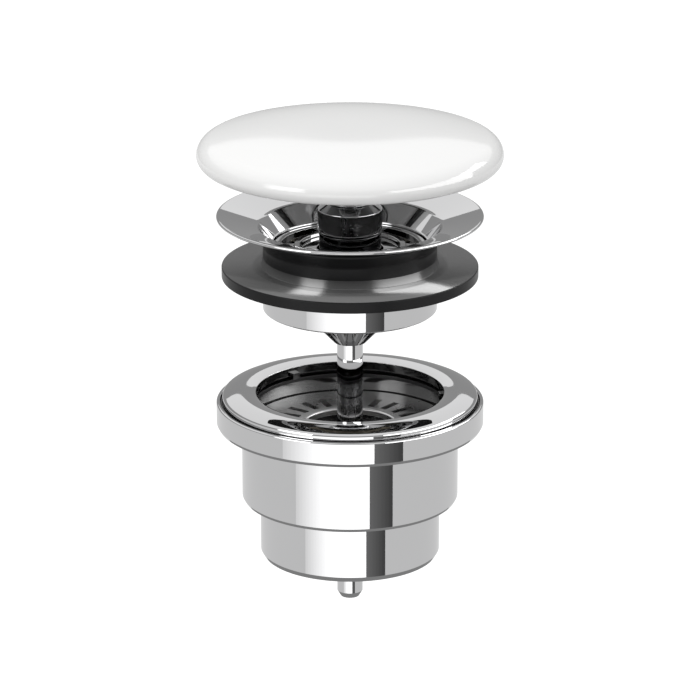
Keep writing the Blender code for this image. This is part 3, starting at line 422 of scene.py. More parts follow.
def coil_tree():
    """Round wire wound into a coil about the Z axis."""
    tree, value, leave = new_tree("Wire coil", [
        ("Turns", "Float", 8.0),
        ("Radius", "Float", 0.003),
        ("Wire radius", "Float", 0.0003),
        ("Bottom", "Float", 0.0),
        ("Top", "Float", 0.02),
    ])
    spiral = made(tree, "GeometryNodeCurveSpiral", {
        "Resolution": 32, "Rotations": value["Turns"],
        "Start Radius": value["Radius"], "End Radius": value["Radius"],
        "Height": math_node(tree, "SUBTRACT", value["Top"], value["Bottom"])})
    wire = made(tree, "GeometryNodeCurvePrimitiveCircle", {
        "Resolution": 12, "Radius": value["Wire radius"]})
    sweep = made(tree, "GeometryNodeCurveToMesh", {
        "Curve": spiral, "Profile Curve": wire, "Fill Caps": True})
    place = made(tree, "GeometryNodeTransform", {
        "Geometry": sweep, "Translation": vector_node(tree, 0.0, 0.0, value["Bottom"])})
    return finish_tree(tree, value, leave, place)


TREES = {"Turned part": turned_tree, "Ring of bars": bars_tree, "Wire coil": coil_tree}


def run_tree(mesh, tree_name, finish, **values):
    """Put a mesh through a tree and return the plain mesh that comes out."""
    tree = bpy.data.node_groups.get(tree_name) or TREES[tree_name]()
    carrier = add_object("carrier", mesh)
    modifier = carrier.modifiers.new(tree_name, "NODES")
    modifier.node_group = tree
    wanted = labelled(values)
    wanted["Finish"] = finish
    for socket in tree.interface.items_tree:
        if socket.in_out == "INPUT" and socket.name in wanted:
            modifier[socket.identifier] = wanted.pop(socket.name)
    if wanted:
        raise RuntimeError("the tree has no input " + ", ".join(wanted))
    graph = bpy.context.evaluated_depsgraph_get()
    graph.update()
    result = bpy.data.meshes.new_from_object(carrier.evaluated_get(graph))
    bpy.data.objects.remove(carrier, do_unlink=True)
    return result


def turned(outline, finish, closed=True, facets=None):
    """Mesh of an outline turned about the Z axis."""
    mesh = bpy.data.meshes.new("outline")
    count = len(outline)
    edges = [(index, index + 1) for index in range(count - 1)]
    if closed:
        edges.append((count - 1, 0))
    mesh.from_pydata([(radius, height, 0.0) for radius, height in outline], edges, [])
    facets = facets or bpy.context.scene.waste_sizes.facets
    return run_tree(mesh, "Turned part", finish, facets=facets)


def with_bars(mesh, finish, **values):
    """Mesh joined with, or cut by, a ring of bars."""
    return run_tree(mesh, "Ring of bars", finish, **values)


def joined_meshes(first, second):
    """First mesh with the second added to it."""
    work = bmesh.new()
    work.from_mesh(first)
    work.from_mesh(second)
    work.to_mesh(first)
    work.free()
    return first


def add_piece(name, mesh, node, finish, keep_sharp=28.0):
    """Turn a mesh into a piece at the origin that stands for a CAD node and rides on its body."""
    work = bmesh.new()
    work.from_mesh(mesh)
    bmesh.ops.remove_doubles(work, verts=work.verts, dist=WELD / 2)
    bmesh.ops.recalc_face_normals(work, faces=work.faces)
    work.to_mesh(mesh)
    work.free()
    mesh.name = name
    mesh.materials.clear()
    mesh.materials.append(finish)
    mesh.shade_smooth()
    mesh.set_sharp_from_angle(angle=math.radians(keep_sharp))
    piece = add_object(name, mesh)
    bodies = frame["record"]["behaviour"]["bodies"]
    body = next(label for label, nodes in bodies.items() if node in nodes)
    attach(piece, body)
    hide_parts(node)
    return piece


def dress(node, slot):
    """Give a CAD node the finish of a slot."""
    for holder in frame["nodes"][node].material_slots:
        holder.material = finish_of(slot)


# Shader groups and finishes


def shader_group(name, inputs, outputs):
    """Shader node group with named number inputs and outputs, its values and its last node."""
    group = bpy.data.node_groups.new(name, "ShaderNodeTree")
    for label, value in inputs:
        socket = group.interface.new_socket(label, in_out="INPUT", socket_type="NodeSocketFloat")
        socket.default_value = value
    for label in outputs:
        group.interface.new_socket(label, in_out="OUTPUT", socket_type="NodeSocketFloat")
    return group, group.nodes.new("NodeGroupInput").outputs, group.nodes.new("NodeGroupOutput")


def object_place(tree):
    """Object coordinates, which are those of the shared frame."""
    return tree.nodes.new("ShaderNodeTexCoord").outputs["Object"]


def noise(tree, coordinates, scale, detail, stretch=None):
    """Noise on object coordinates, stretched along the axes if asked."""
    if stretch is not None:
        coordinates = made(tree, "ShaderNodeMapping", {"Vector": coordinates, "Scale": stretch})
    return made(tree, "ShaderNodeTexNoise", {"Vector": coordinates, "Scale": scale, "Detail": detail})


def polish_group(name):
    """Fine turning lines round the axis and a faint haze from handling."""
    group, value, leave = shader_group(name, [("Line scale", 9000.0), ("Haze scale", 60.0)],
                                       ["Lines", "Haze"])
    place = object_place(group)
    feed(group, leave, {
        "Lines": noise(group, place, value["Line scale"], 2.0, (0.02, 0.02, 1.0)),
        "Haze": noise(group, place, value["Haze scale"], 4.0)})
    return group


def grain_group(name):
    """Fine grain with broad, faint mottling under it."""
    group, value, leave = shader_group(name, [("Grain scale", 6000.0), ("Mottle scale", 120.0)],
                                       ["Grain", "Mottle"])
    place = object_place(group)
    feed(group, leave, {
        "Grain": noise(group, place, value["Grain scale"], 3.0),
        "Mottle": noise(group, place, value["Mottle scale"], 3.0)})
    return group


def bore_group(name):
    """Mask that is one inside a radius and between two heights of the shared frame."""
    group, value, leave = shader_group(name, [("Radius", 0.02), ("Bottom", -1.0), ("Top", 1.0)], ["Mask"])
    place = add_node(group, "ShaderNodeSeparateXYZ", {"Vector": object_place(group)}).outputs
    flat = [math_node(group, "MULTIPLY", place[axis], place[axis]) for axis in "XY"]
    reach = math_node(group, "POWER", math_node(group, "ADD", *flat), 0.5)
    mask = math_node(group, "LESS_THAN", reach, value["Radius"])
    for operation, bound in (("GREATER_THAN", "Bottom"), ("LESS_THAN", "Top")):
        mask = math_node(group, "MULTIPLY", mask, math_node(group, operation, place["Z"], value[bound]))
    feed(group, leave, {"Mask": mask})
    return group


def sheen_group(name):
    """Gloss of a moulded washer, and the share of painted light in its colour: none below its rim, full on
    the rim, growing down the foot of the neck.
    """
    group, value, leave = shader_group(name, [
        ("Rim height", 0.0), ("Band height", 0.005), ("Reach", 0.022),
        ("Rim gloss", 0.95), ("Band gloss", 0.25), ("Foot gloss", 0.7)], ["Sheen"])
    low, high = value["Rim height"], value["Band height"]
    inside = use_group(group, "Inside of a bore", radius=value["Reach"], bottom=low, top=high)["Mask"]
    height = add_node(group, "ShaderNodeSeparateXYZ", {"Vector": object_place(group)}).outputs["Z"]
    ramp = made(group, "ShaderNodeMapRange", {
        "Value": height, "From Min": low, "From Max": high,
        "To Min": value["Foot gloss"], "To Max": value["Band gloss"]})
    foot = math_node(group, "MULTIPLY", inside, ramp)
    band = math_node(group, "MULTIPLY", math_node(group, "GREATER_THAN", height, low),
                     math_node(group, "LESS_THAN", height, high))
    rim = math_node(group, "MULTIPLY", math_node(group, "SUBTRACT", band, inside), value["Rim gloss"])
    feed(group, leave, {"Sheen": math_node(group, "ADD", foot, rim)})
    return group


GROUPS = {
    "Polish marks": polish_group,
    "Moulded grain": grain_group,
    "Inside of a bore": bore_group,
    "Washer sheen": sheen_group,
}


def use_group(tree, name, **values):
    """Place a shader group with its own values and return its outputs."""
    group = bpy.data.node_groups.get(name) or GROUPS[name](name)
    return add_node(tree, "ShaderNodeGroup", labelled(values), node_tree=group).outputs


def looks():
    """Colours and gloss set on the scene."""
    return bpy.context.scene.waste_finishes


def new_material(name):
    """Material with its node tree and its Principled shader."""
    material = bpy.data.materials.new(name)
    material.use_nodes = True
    return material, material.node_tree, material.node_tree.nodes["Principled BSDF"]


def between(tree, factor, low, high):
    """Map the middle of a noise to low..high."""
    return made(tree, "ShaderNodeMapRange", {
        "Value": factor, "From Min": 0.3, "From Max": 0.7, "To Min": low, "To Max": high})


def mixed(tree, factor, first, second):
    """Mix of two colours."""
    return made(tree, "ShaderNodeMix", {"Factor": factor, "A": first, "B": second}, data_type="RGBA")


def tinted(tree, factor, tone, spread):
    """Colour that wavers by a small share of its tone."""
    ends = [(*[min(part * by, 1.0) for part in tone], 1.0) for by in (1.0 - spread, 1.0 + spread)]
    return mixed(tree, factor, *ends)


def bumped(tree, height, strength, distance):
    """Normal made from a height."""
    return made(tree, "ShaderNodeBump", {"Strength": strength, "Distance": distance, "Height": height})


def plated(name, tone, roughness, line_depth=0.0000002, bore=None, bore_shade_tone=None):
    """Polished plate with fine turning lines and a faint haze; inside a bore, if asked, rougher and darkened
    by painted shade.
    """
    if name in bpy.data.materials:
        return bpy.data.materials[name]
    material, tree, shader = new_material(name)
    marks = use_group(tree, "Polish marks")
    base = tinted(tree, marks["Haze"], tone, 0.015)
    rough = between(tree, marks["Haze"], roughness * 0.7, roughness * 1.5)
    if bore is not None:
        # Painted shade: inside the bore the plate takes a darker tone, and it is rougher there too
        inside = use_group(tree, "Inside of a bore", radius=bore[0], bottom=bore[1], top=bore[2])["Mask"]
        base = mixed(tree, inside, base, (*bore_shade_tone, 1.0))
        rough = math_node(tree, "ADD", rough, math_node(tree, "MULTIPLY", inside, BORE_ROUGHNESS))
    feed(tree, shader, {
        "Metallic": 1.0, "Base Color": base, "Roughness": rough,
        "Normal": bumped(tree, marks["Lines"], 0.05, line_depth)})
    return material


def glazed(name, tone, roughness):
    """Glossy glaze with a faint waviness."""
    if name in bpy.data.materials:
        return bpy.data.materials[name]
    material, tree, shader = new_material(name)
    grain = use_group(tree, "Moulded grain", grain_scale=260.0, mottle_scale=45.0)
    feed(tree, shader, {
        "Base Color": tinted(tree, grain["Mottle"], tone, 0.008),
        "Roughness": between(tree, grain["Mottle"], roughness * 0.9, roughness * 1.1),
        "IOR": 1.52,
        "Normal": bumped(tree, grain["Grain"], 0.06, 0.00002)})
    return material


def moulded(name, tone, roughness, depth=0.00001, spread=0.12, sheen=None):
    """Rubber or plastic with a fine moulded grain; if asked, glossier on a washer's rim and foot and
    lightened there by painted light.
    """
    if name in bpy.data.materials:
        return bpy.data.materials[name]
    material, tree, shader = new_material(name)
    grain = use_group(tree, "Moulded grain", grain_scale=5200.0, mottle_scale=110.0)
    base = tinted(tree, grain["Mottle"], tone, spread)
    if sheen is not None:
        gloss = use_group(tree, "Washer sheen", reach=sheen[0], rim_height=sheen[1],
                          band_height=sheen[2])["Sheen"]
        # Painted light: the washer's colour turns paler on its rim and foot, by the same mask as its gloss
        base = mixed(tree, gloss, base, (*looks().rubber_painted_light, 1.0))
        feed(tree, shader, {"Coat Weight": gloss, "Coat Roughness": 0.17, "Coat IOR": 2.1,
                            "Specular IOR Level": 0.12})
    feed(tree, shader, {
        "Base Color": base,
        "Roughness": between(tree, grain["Mottle"], roughness * 0.92, roughness * 1.08),
        "Normal": bumped(tree, grain["Grain"], 0.12, depth)})
    return material


def finish_of(slot):
    """Finish for a material slot of the record."""
    look = looks()
    maker, *values = {
        "white_ceramic": (glazed, "Glazed ceramic", look.ceramic, look.ceramic_gloss),
        "polished_chrome": (plated, "Polished plate", look.chrome, look.chrome_gloss),
        "dark_chrome": (plated, "Dark plate", look.dark_chrome, look.chrome_gloss * 2),
        "black_rubber": (moulded, "Moulded rubber", look.rubber, look.rubber_gloss),
        "brass": (plated, "Turned brass", look.brass, 0.30, 0.000002),
        "spring_steel": (plated, "Drawn steel", look.steel, 0.2, 0.000001),
        "grey_acetal": (moulded, "Moulded acetal", look.acetal, 0.42, 0.000006, 0.03),
    }[slot]
    return maker(*values)


def bored_plate(name, radius, bottom, top, tone=None):
    """Polished plate whose bore is rougher and darkened by painted shade."""
    look = looks()
    return plated(name, look.chrome, look.chrome_gloss, bore=(radius, bottom, top),
                  bore_shade_tone=tone or look.bore)


def inner_plate():
    """Duller plate of the pieces inside the body."""
    return plated("Inner plate", looks().inner_plate, 0.24)


def turned_piece(name, node, slot, outline, closed=True, facets=None, finish=None):
    """Turned piece for a CAD node in the finish of a slot, or in one of its own."""
    finish = finish or finish_of(slot)
    return add_piece(name, turned(outline, finish, closed, facets), node, finish)


def build(context, *makers):
    """Run makers on the sizes of the scene."""
    for make in makers:
        make(context.scene.waste_sizes)
    return {"FINISHED"}


# Cap


def crown_outline(radius, top, widest, sizes):
    """Shallow dome that runs without a kink into an elliptic edge, from the axis to the widest point."""
    slope_share = sizes.cap_edge_up / sizes.cap_edge_in
    start = radius - sizes.cap_edge_in
    # Halve in on the angle of the edge at which dome and edge have the same slope
    low, high = math.radians(45), math.radians(89.9)
    for _ in range(50):
        angle = (low + high) / 2
        reach = start + sizes.cap_edge_in * math.cos(angle)
        fall = slope_share / math.tan(angle) * reach / DOME_POWER
        if top - fall < widest + sizes.cap_edge_up * math.sin(angle):
            low = angle
        else:
            high = angle
    joint_height = widest + sizes.cap_edge_up * math.sin(angle)
    places = [step / DOME_STEPS for step in range(DOME_STEPS)]
    dome = [(reach * place, top - (top - joint_height) * place ** DOME_POWER) for place in places]
    edge = arc((start, widest), (sizes.cap_edge_in, sizes.cap_edge_up), math.degrees(angle), 0, 28)
    return dome + edge


def make_cap(sizes):
    """Glazed disc with a domed top, soft edge, groove and recess."""
    radius, under, top = extent("ceramic_cap")
    widest = under + sizes.cap_edge_down
    upper = crown_outline(radius, top, widest, sizes)
    lower = arc((radius - sizes.cap_under_in, widest), (sizes.cap_under_in, sizes.cap_edge_down),
                0, -90, 20)
    groove_outer = radius_of("cap_seal") + SEAT_GAP
    groove_inner = groove_outer - SEAL_WIDTH - 2 * SEAT_GAP
    groove_top = top_of("cap_seal") + SEAT_GAP
    recess = radius_of("cap_insert") + SEAT_GAP
    soft = 0.0003
    underside = softened([
        lower[-1],
        (groove_outer, under, soft),
        (groove_outer, groove_top, soft / 2),
        (groove_inner, groove_top, soft / 2),
        (groove_inner, under, soft),
        (recess, under, soft),
        (recess, under + sizes.recess_depth, soft / 2),
        (0.0, under + sizes.recess_depth),
    ], closed=False)
    turned_piece("cap_glazed", "ceramic_cap", "white_ceramic", upper + lower[1:] + underside[1:],
                 closed=False)


def make_seal(sizes):
    """Rubber ring with a rounded lip in the groove of the cap."""
    outer, foot, top = extent("cap_seal")
    lip = 0.00066
    tone = looks().cap_rubber
    turned_piece("cap_seal_ring", "cap_seal", "black_rubber",
                 ring_outline(outer - SEAL_WIDTH, outer, foot, top, FINE, lip),
                 finish=moulded("Rubber of the cap", tone, 0.4))


def make_insert(sizes):
    """Disc under the cap with a neck down to the head."""
    disc, foot, top = extent("cap_insert")
    under = foot_of("ceramic_cap")
    bore_roof = foot + 0.007
    outline = softened([
        (0.0, top),
        (disc, top, sizes.soft_edge),
        (disc, under, sizes.soft_edge),
        (sizes.insert_neck, under, 0.0008),
        (sizes.insert_neck, foot, sizes.soft_edge),
        (STUD_BORE, foot, sizes.soft_edge / 2),
        (STUD_BORE, bore_roof),
        (0.0, bore_roof),
    ], closed=False)
    tone = looks().grille
    turned_piece("cap_insert_turned", "cap_insert", "polished_chrome", outline, closed=False,
                 finish=plated("Satin plate", tone, 0.3, 0.000001))


class WASTE_OT_cap(bpy.types.Operator):
    """Make the glazed cap, its rubber ring and its insert."""

    bl_idname = "waste.cap"
    bl_label = "Cap"

    def execute(self, context):
        return build(context, make_cap, make_seal, make_insert)


# Stem


def make_head(sizes):
    """Head with a soft foot and a cone shoulder."""
    radius, foot, top = extent("stem_head")
    shoulder = top - 0.0013
    wall = 0.0010
    roof = top - 0.0012
    outline = softened([
        (STUD_BORE, top, FINE),
        (sizes.insert_neck, top, EASED),
        (radius, shoulder, sizes.head_edge),
        (radius, foot, sizes.head_foot),
        (radius - wall, foot, FINE),
        (radius - wall, roof),
        (STUD_BORE, roof),
    ])
    turned_piece("stem_head_turned", "stem_head", "polished_chrome", outline)


def make_plunger(sizes):
    """Dark tube under the head."""
    radius, foot, top = extent("plunger")
    neck = radius_of("stem_head") - 0.0013
    shoulder = foot_of("stem_head") - SEAT_GAP
    bore = 0.0050
    cavity = 0.0060
    groove = 0.0065
    cam_top = top_of("cam_ring") + SEAT_GAP
    play = 0.00015
    clip_low = foot_of("cam_clip") - play
    clip_high = top_of("cam_clip") + play
    outline = softened([
        (bore, top, FINE),
        (neck, top, FINE),
        (neck, shoulder),
        (radius, shoulder, FINE),
        (radius, foot, 0.0003),
        (cavity, foot, EASED),
        (cavity, clip_low),
        (groove, clip_low),
        (groove, clip_high),
        (cavity, clip_high),
        (cavity, cam_top),
        (bore, cam_top),
    ])
    turned_piece("plunger_tube", "plunger", "dark_chrome", outline)


class WASTE_OT_stem(bpy.types.Operator):
    """Make the head and the plunger, and finish the stud, the clip and the cam ring."""

    bl_idname = "waste.stem"
    bl_label = "Stem"

    def execute(self, context):
        dress("head_stud", "spring_steel")
        dress("cam_clip", "spring_steel")
        dress("cam_ring", "grey_acetal")
        return build(context, make_head, make_plunger)


# Flange and grille


def make_flange(sizes):
    """Dish with a rolled rim, a rounded mouth, a conical throat and a tube."""
    radius, foot, top = extent("flange")
    thick = sizes.rim_thickness
    slope = math.tan(math.radians(DISH_ANGLE))
    mouth_height = top - (radius - sizes.mouth_radius) * slope
    throat_height = mouth_height - sizes.throat_depth
    bore = sizes.throat_radius - SEAT_GAP
    tube = bore + 0.0009
    ledge = bore - 0.0012
    ledge_top = top_of("strainer_grille") - GRILLE_RING - SEAT_GAP
    rim_middle = (radius - thick / 2, top - thick / 2)
    rolled = arc(rim_middle, (thick / 2, thick / 2), 90 + DISH_ANGLE, DISH_ANGLE - 90, 14)
    under_mouth = sizes.mouth_radius - thick + tube - sizes.throat_radius
    under_height = top - thick - (radius - under_mouth) * slope
    lower = softened([
        rolled[-1],
        (under_mouth, under_height, 0.0005),
        (tube, throat_height, 0.0005),
        (tube, foot, EASED),
        (ledge, foot, EASED),
        (ledge, ledge_top),
        (bore, ledge_top),
        (bore, throat_height, 0.00012),
        (sizes.throat_radius, throat_height, 0.00008),
        (sizes.mouth_radius, mouth_height, sizes.mouth_roll),
        rolled[0],
    ], closed=False)
    # Painted shade darkens the tube of the flange up to the grille
    finish = bored_plate("Flange plate", tube + 0.0001, foot - OVERRUN, top_of("strainer_grille"),
                         looks().tube_bore_shade)
    turned_piece("flange_dish", "flange", "polished_chrome", rolled[:-1] + lower[:-1], finish=finish)


def make_grille(sizes):
    """Ring and hub joined by spokes, seated in the throat."""
    finish = plated("Grille plate", looks().grille, 0.05)
    outer, foot, top = extent("strainer_grille")
    ring_inner = outer - GRILLE_RING
    ring_foot = top - GRILLE_RING
    hub = 0.0129
    hub_wall = 0.0115
    bore = 0.0099
    seat = foot + 0.0018
    soft = CRISP
    bite = 0.0007
    hub_mesh = turned(softened([
        (bore, seat),
        (hub_wall, seat),
        (hub_wall, top, soft),
        (hub, top, soft),
        (hub, foot, soft),
        (bore, foot, soft),
    ]), finish, facets=96)
    spoked = with_bars(hub_mesh, finish, count=sizes.grille_spokes, inner_radius=hub - bite,
                       outer_radius=ring_inner + bite, width=0.0020,
                       bottom=ring_foot + soft, top=top - soft)
    ring_mesh = turned(ring_outline(ring_inner, outer, ring_foot, top, soft), finish, facets=96)
    mesh = joined_meshes(spoked, ring_mesh)
    add_piece("grille_spoked", mesh, "strainer_grille", finish)


class WASTE_OT_flange(bpy.types.Operator):
    """Make the dished flange and the grille in its throat."""

    bl_idname = "waste.flange"
    bl_label = "Flange"

    def execute(self, context):
        return build(context, make_flange, make_grille)


# Washer and collar


def lean_rim(mesh, height, inner, outer, start, end):
    """Lean the shading normals of a flat rim outward, from start to end degrees above the level."""
    normals = [corner.vector.copy() for corner in mesh.corner_normals]
    for face in mesh.polygons:
        if face.normal.z < RIM_FACING or not -0.00005 < face.center.z - height < 0.0003:
            continue
        for corner in face.loop_indices:
            place = mesh.vertices[mesh.loops[corner].vertex_index].co
            along = min(max((place.xy.length - inner) / (outer - inner), 0.0), 1.0)
            lean = math.radians(start + (end - start) * along)
            outward = place.xy.normalized()
            normals[corner] = Vector((
                outward.x * math.cos(lean), outward.y * math.cos(lean), math.sin(lean)))
    mesh.normals_split_custom_set(normals)


def make_washer(sizes):
    """Rubber neck that sweeps out into a wide flat rim."""
    radius, _, top = extent("flange_washer")
    bore = 0.0190
    rim = sizes.washer_rim
    foot_radius = sizes.neck_radius + 0.00048
    recess = 0.0204
    recess_height = 0.0006
    throat_foot = top_of("strainer_grille") + 0.00049
    lean = 2.0 / 3.0
    sheen = (sizes.neck_radius + 0.0024, rim - 0.00002, rim + 0.00214)
    lip_bore = bore + (top - throat_foot) * lean
    lip = lip_bore + sizes.neck_lip
    lip_height = 0.0005
    flare_foot = top - lip_height - (lip - sizes.neck_radius) / lean
    outline = softened([
        (bore, throat_foot, 0.0006),
        (lip_bore, top, FINE),
        (lip, top, EASED),
        (lip, top - lip_height, EASED),
        (sizes.neck_radius, flare_foot, 0.0016),
        (sizes.neck_radius, rim + 0.00208, 0.0003),
        (foot_radius, rim + 0.00018, EASED),
        (sizes.neck_radius + sizes.neck_fillet * 0.6, rim, 0.0016),
        (radius, rim, 0.00028),
        (radius, 0.0, 0.00025),
        (recess, 0.0, FINE),
        (recess, recess_height),
        (bore, recess_height),
    ], arc_step=6)
    look = looks()
    # The washer's rim and neck foot are glossier, and lightened by painted light
    finish = moulded("Rubber of the washer", look.rubber, look.rubber_gloss, sheen=sheen)
    washer = turned_piece("washer_moulded", "flange_washer", "black_rubber", outline, finish=finish)
    lean_rim(washer.data, rim, foot_radius, radius - 0.0003, start=9.0, end=28.0)


def make_collar(sizes):
    """Short plated tube with a bevelled foot and an inner lip."""
    radius, foot, top = extent("lower_collar")
    inner = 0.0190
    lip = 0.0182
    lip_top = foot + 0.0006
    outline = softened([
        (inner, top),
        (radius, top, sizes.soft_edge),
        (radius, foot + 0.0003, 0.0003),
        (radius - 0.0004, foot, EASED),
        (lip, foot, EASED),
        (lip, lip_top, FINE),
        (inner, lip_top),
    ])
    # Painted shade darkens the bore of the collar
    turned_piece("collar_turned", "lower_collar", "polished_chrome", outline,
                 finish=bored_plate("Collar plate", inner + 0.0001, foot + 0.0002, top + OVERRUN))


class WASTE_OT_washer(bpy.types.Operator):
    """Make the rubber washer and the collar below it."""

    bl_idname = "waste.washer"
    bl_label = "Washer and collar"

    def execute(self, context):
        return build(context, make_washer, make_collar)


# Cartridge and draw screw


def make_housing(sizes):
    """Cup with a lip, two guide bores, a groove for the O-ring and a cone below."""
    lip = 0.0112
    radius = 0.0096
    tip = 0.0037
    bore = 0.0033
    _, foot, top = extent("cartridge_housing")
    lip_foot = top - 0.0009
    cone_top = foot + radius - tip
    head_guide = 0.00765
    guide = 0.00745
    floor = foot + 0.0037
    floor_chamfer = 0.0014
    groove = 0.0087
    groove_gap = 0.00037
    groove_low = foot_of("stem_o_ring") - groove_gap
    groove_high = top_of("stem_o_ring") + groove_gap
    step = -0.0002
    outline = softened([
        (head_guide, top, FINE),
        (lip, top, EASED),
        (lip, lip_foot, FINE),
        (radius, lip_foot),
        (radius, cone_top, 0.0004),
        (tip, foot, EASED),
        (bore, foot, CRISP),
        (bore, floor),
        (guide - floor_chamfer, floor),
        (guide, floor + floor_chamfer),
        (guide, groove_low),
        (groove, groove_low),
        (groove, groove_high),
        (guide, groove_high),
        (guide, step),
        (head_guide, step),
    ])
    turned_piece("housing_turned", "cartridge_housing", "polished_chrome", outline)


def make_spring(sizes):
    """Round wire coil between the core and the head, with a mesh of its own; the real spring shortens as the
    cap goes down.
    """
    finish = finish_of("spring_steel")
    turns = 8.0
    radius = 0.00285
    wire = 0.0003
    _, foot, top = extent("return_spring")
    mesh = run_tree(bpy.data.meshes.new("coil"), "Wire coil", finish, turns=turns,
                    radius=radius, wire_radius=wire, bottom=foot + wire, top=top - wire)
    coil = add_piece("spring_coil", mesh, "return_spring", finish, keep_sharp=60.0)
    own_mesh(coil)


def make_screw(sizes):
    """Long plated rod with a chamfered tip and a socket head."""
    radius = sizes.rod_radius
    head, tip, top = extent("draw_screw")
    head_foot = top - 0.0020
    socket = 0.0021
    socket_floor = top - 0.0015
    tip_radius = 0.00213
    chamfer_top = tip + 0.0014
    outline = softened([
        (0.0, socket_floor),
        (socket, socket_floor),
        (socket, top, FINE),
        (head, top, 0.0003),
        (head, head_foot, FINE),
        (radius, head_foot, EASED),
        (radius, chamfer_top, EASED),
        (tip_radius, tip, FINE),
        (0.0, tip),
    ], closed=False)
    turned_piece("draw_screw_rod", "draw_screw", "polished_chrome", outline, closed=False, facets=96)


class WASTE_OT_cartridge(bpy.types.Operator):
    """Make the housing and the spring, and finish the core, the nut and the O-ring."""

    bl_idname = "waste.cartridge"
    bl_label = "Cartridge"

    def execute(self, context):
        dress("cartridge_core", "grey_acetal")
        dress("housing_lock_nut", "brass")
        dress("stem_o_ring", "black_rubber")
        dress("screw_washer", "grey_acetal")
        return build(context, make_housing, make_spring)


class WASTE_OT_draw_screw(bpy.types.Operator):
    """Make the draw screw."""

    bl_idname = "waste.draw_screw"
    bl_label = "Draw screw"

    def execute(self, context):
        return build(context, make_screw)


# Body


def make_ring(sizes):
    """Ring with a convex top, soft edges and three lugs in its bore."""
    outer, foot, top = extent("sealing_ring")
    bore = outer - 0.0075
    # Painted shade darkens the bore of the ring and its lugs
    finish = bored_plate("Ring plate", bore + 0.00005, foot - OVERRUN, top - 0.0006)
    edge = sizes.ring_edge
    rim = outer + sizes.ring_overhang
    lip = top_of("body_gasket") + 0.00012
    start, end = bore + 0.0007, rim - 0.0014
    crown = []
    for step in range(CROWN_STEPS + 1):
        here = start + (end - start) * step / CROWN_STEPS
        crown.append((here, top - sizes.ring_crown * ((here - sizes.ring_peak) / sizes.ring_reach) ** 2))
    outline = softened([
        (bore + edge, foot, sizes.soft_edge),
        (bore, foot + edge, sizes.soft_edge),
        (bore, crown[0][1] - 0.0003, FINE),
    ] + crown + [
        (rim, crown[-1][1] - 0.0005, sizes.ring_shoulder),
        (rim, lip, sizes.soft_edge),
        (outer, lip),
        (outer, foot, sizes.soft_edge),
    ], arc_step=8)
    mesh = turned(outline, finish)
    lug_top = top - 0.0018
    lug_foot = lug_top - 0.0015
    lug_reach = bore - 0.0010
    mesh = with_bars(mesh, finish, count=3, first_angle=math.radians(7), inner_radius=lug_reach,
                     outer_radius=bore + edge / 2, width=sizes.lug_width,
                     bottom=lug_foot, top=lug_top)
    add_piece("ring_domed", mesh, "sealing_ring", finish)


def make_gasket(sizes):
    """Rubber ring under the domed ring with a thin lip round its outside."""
    outer, foot, top = extent("body_gasket")
    bore = 0.0223
    seat = foot + 0.0009
    lip = outer - 0.0003
    outline = softened([
        (bore, seat, FINE),
        (lip, seat),
        (lip, top, FINE),
        (outer, top, FINE),
        (outer, foot, FINE),
        (bore, foot, FINE),
    ])
    turned_piece("gasket_moulded", "body_gasket", "black_rubber", outline)


class WASTE_OT_ring(bpy.types.Operator):
    """Make the domed ring on the body and the rubber ring under it."""

    bl_idname = "waste.ring"
    bl_label = "Ring and gasket"

    def execute(self, context):
        return build(context, make_ring, make_gasket)


def make_body(sizes):
    """Flange with a recess, drum with a counterbore for the strainer, and tail."""
    flange, foot, top = extent("waste_body")
    tail = 0.02095
    drum = 0.0252
    flange_foot = top - 0.00587
    drum_foot = flange_foot - 0.01786
    recess = flange - 0.00085
    recess_floor = top - 0.0024
    counterbore = drum - sizes.body_wall
    ledge = foot_of("body_strainer") - SEAT_GAP
    drum_bore = drum - 0.0026
    tail_bore = tail - 0.00275
    floor = drum_foot + 0.0033
    soft = sizes.soft_edge
    bevel_in, bevel_up = 0.0004, 0.00075
    tail_bevel_in, tail_bevel_up = 0.00065, 0.0012
    outline = softened([
        (recess, top, FINE),
        (flange, top, 0.00045),
        (flange, flange_foot + bevel_up, CRISP),
        (flange - bevel_in, flange_foot, CRISP),
        (drum, flange_foot, EASED),
        (drum, drum_foot + bevel_up, CRISP),
        (drum - bevel_in, drum_foot, CRISP),
        (tail, drum_foot, EASED),
        (tail, foot + tail_bevel_up, CRISP),
        (tail - tail_bevel_in, foot, CRISP),
        (tail_bore, foot, soft),
        (tail_bore, floor, soft),
        (drum_bore, floor, 0.0006),
        (drum_bore, ledge, 0.0004),
        (counterbore, ledge, 0.0003),
        (counterbore, recess_floor, FINE),
        (recess, recess_floor, FINE),
    ])
    # Painted shade darkens the counterbore and the drum inside the body
    finish = bored_plate("Body plate", counterbore + 0.0003, drum_foot + OVERRUN, top + OVERRUN)
    turned_piece("body_turned", "waste_body", "polished_chrome", outline, finish=finish)


class WASTE_OT_body(bpy.types.Operator):
    """Make the stepped body."""

    bl_idname = "waste.body"
    bl_label = "Body"

    def execute(self, context):
        return build(context, make_body)


def make_strainer(sizes):
    """Flat ring with radial slots in the counterbore of the body."""
    finish = inner_plate()
    outer, foot, top = extent("body_strainer")
    inner = 0.0105
    mesh = turned(ring_outline(inner, outer, foot, top, 0.0004, CRISP), finish, facets=144)
    start = inner + 0.0021
    mesh = with_bars(mesh, finish, count=sizes.slots, first_angle=math.pi / sizes.slots,
                     inner_radius=start, outer_radius=start + sizes.slot_length, width=sizes.slot_width,
                     bottom=foot - OVERRUN, top=top + OVERRUN, cut=True)
    add_piece("strainer_slotted", mesh, "body_strainer", finish)


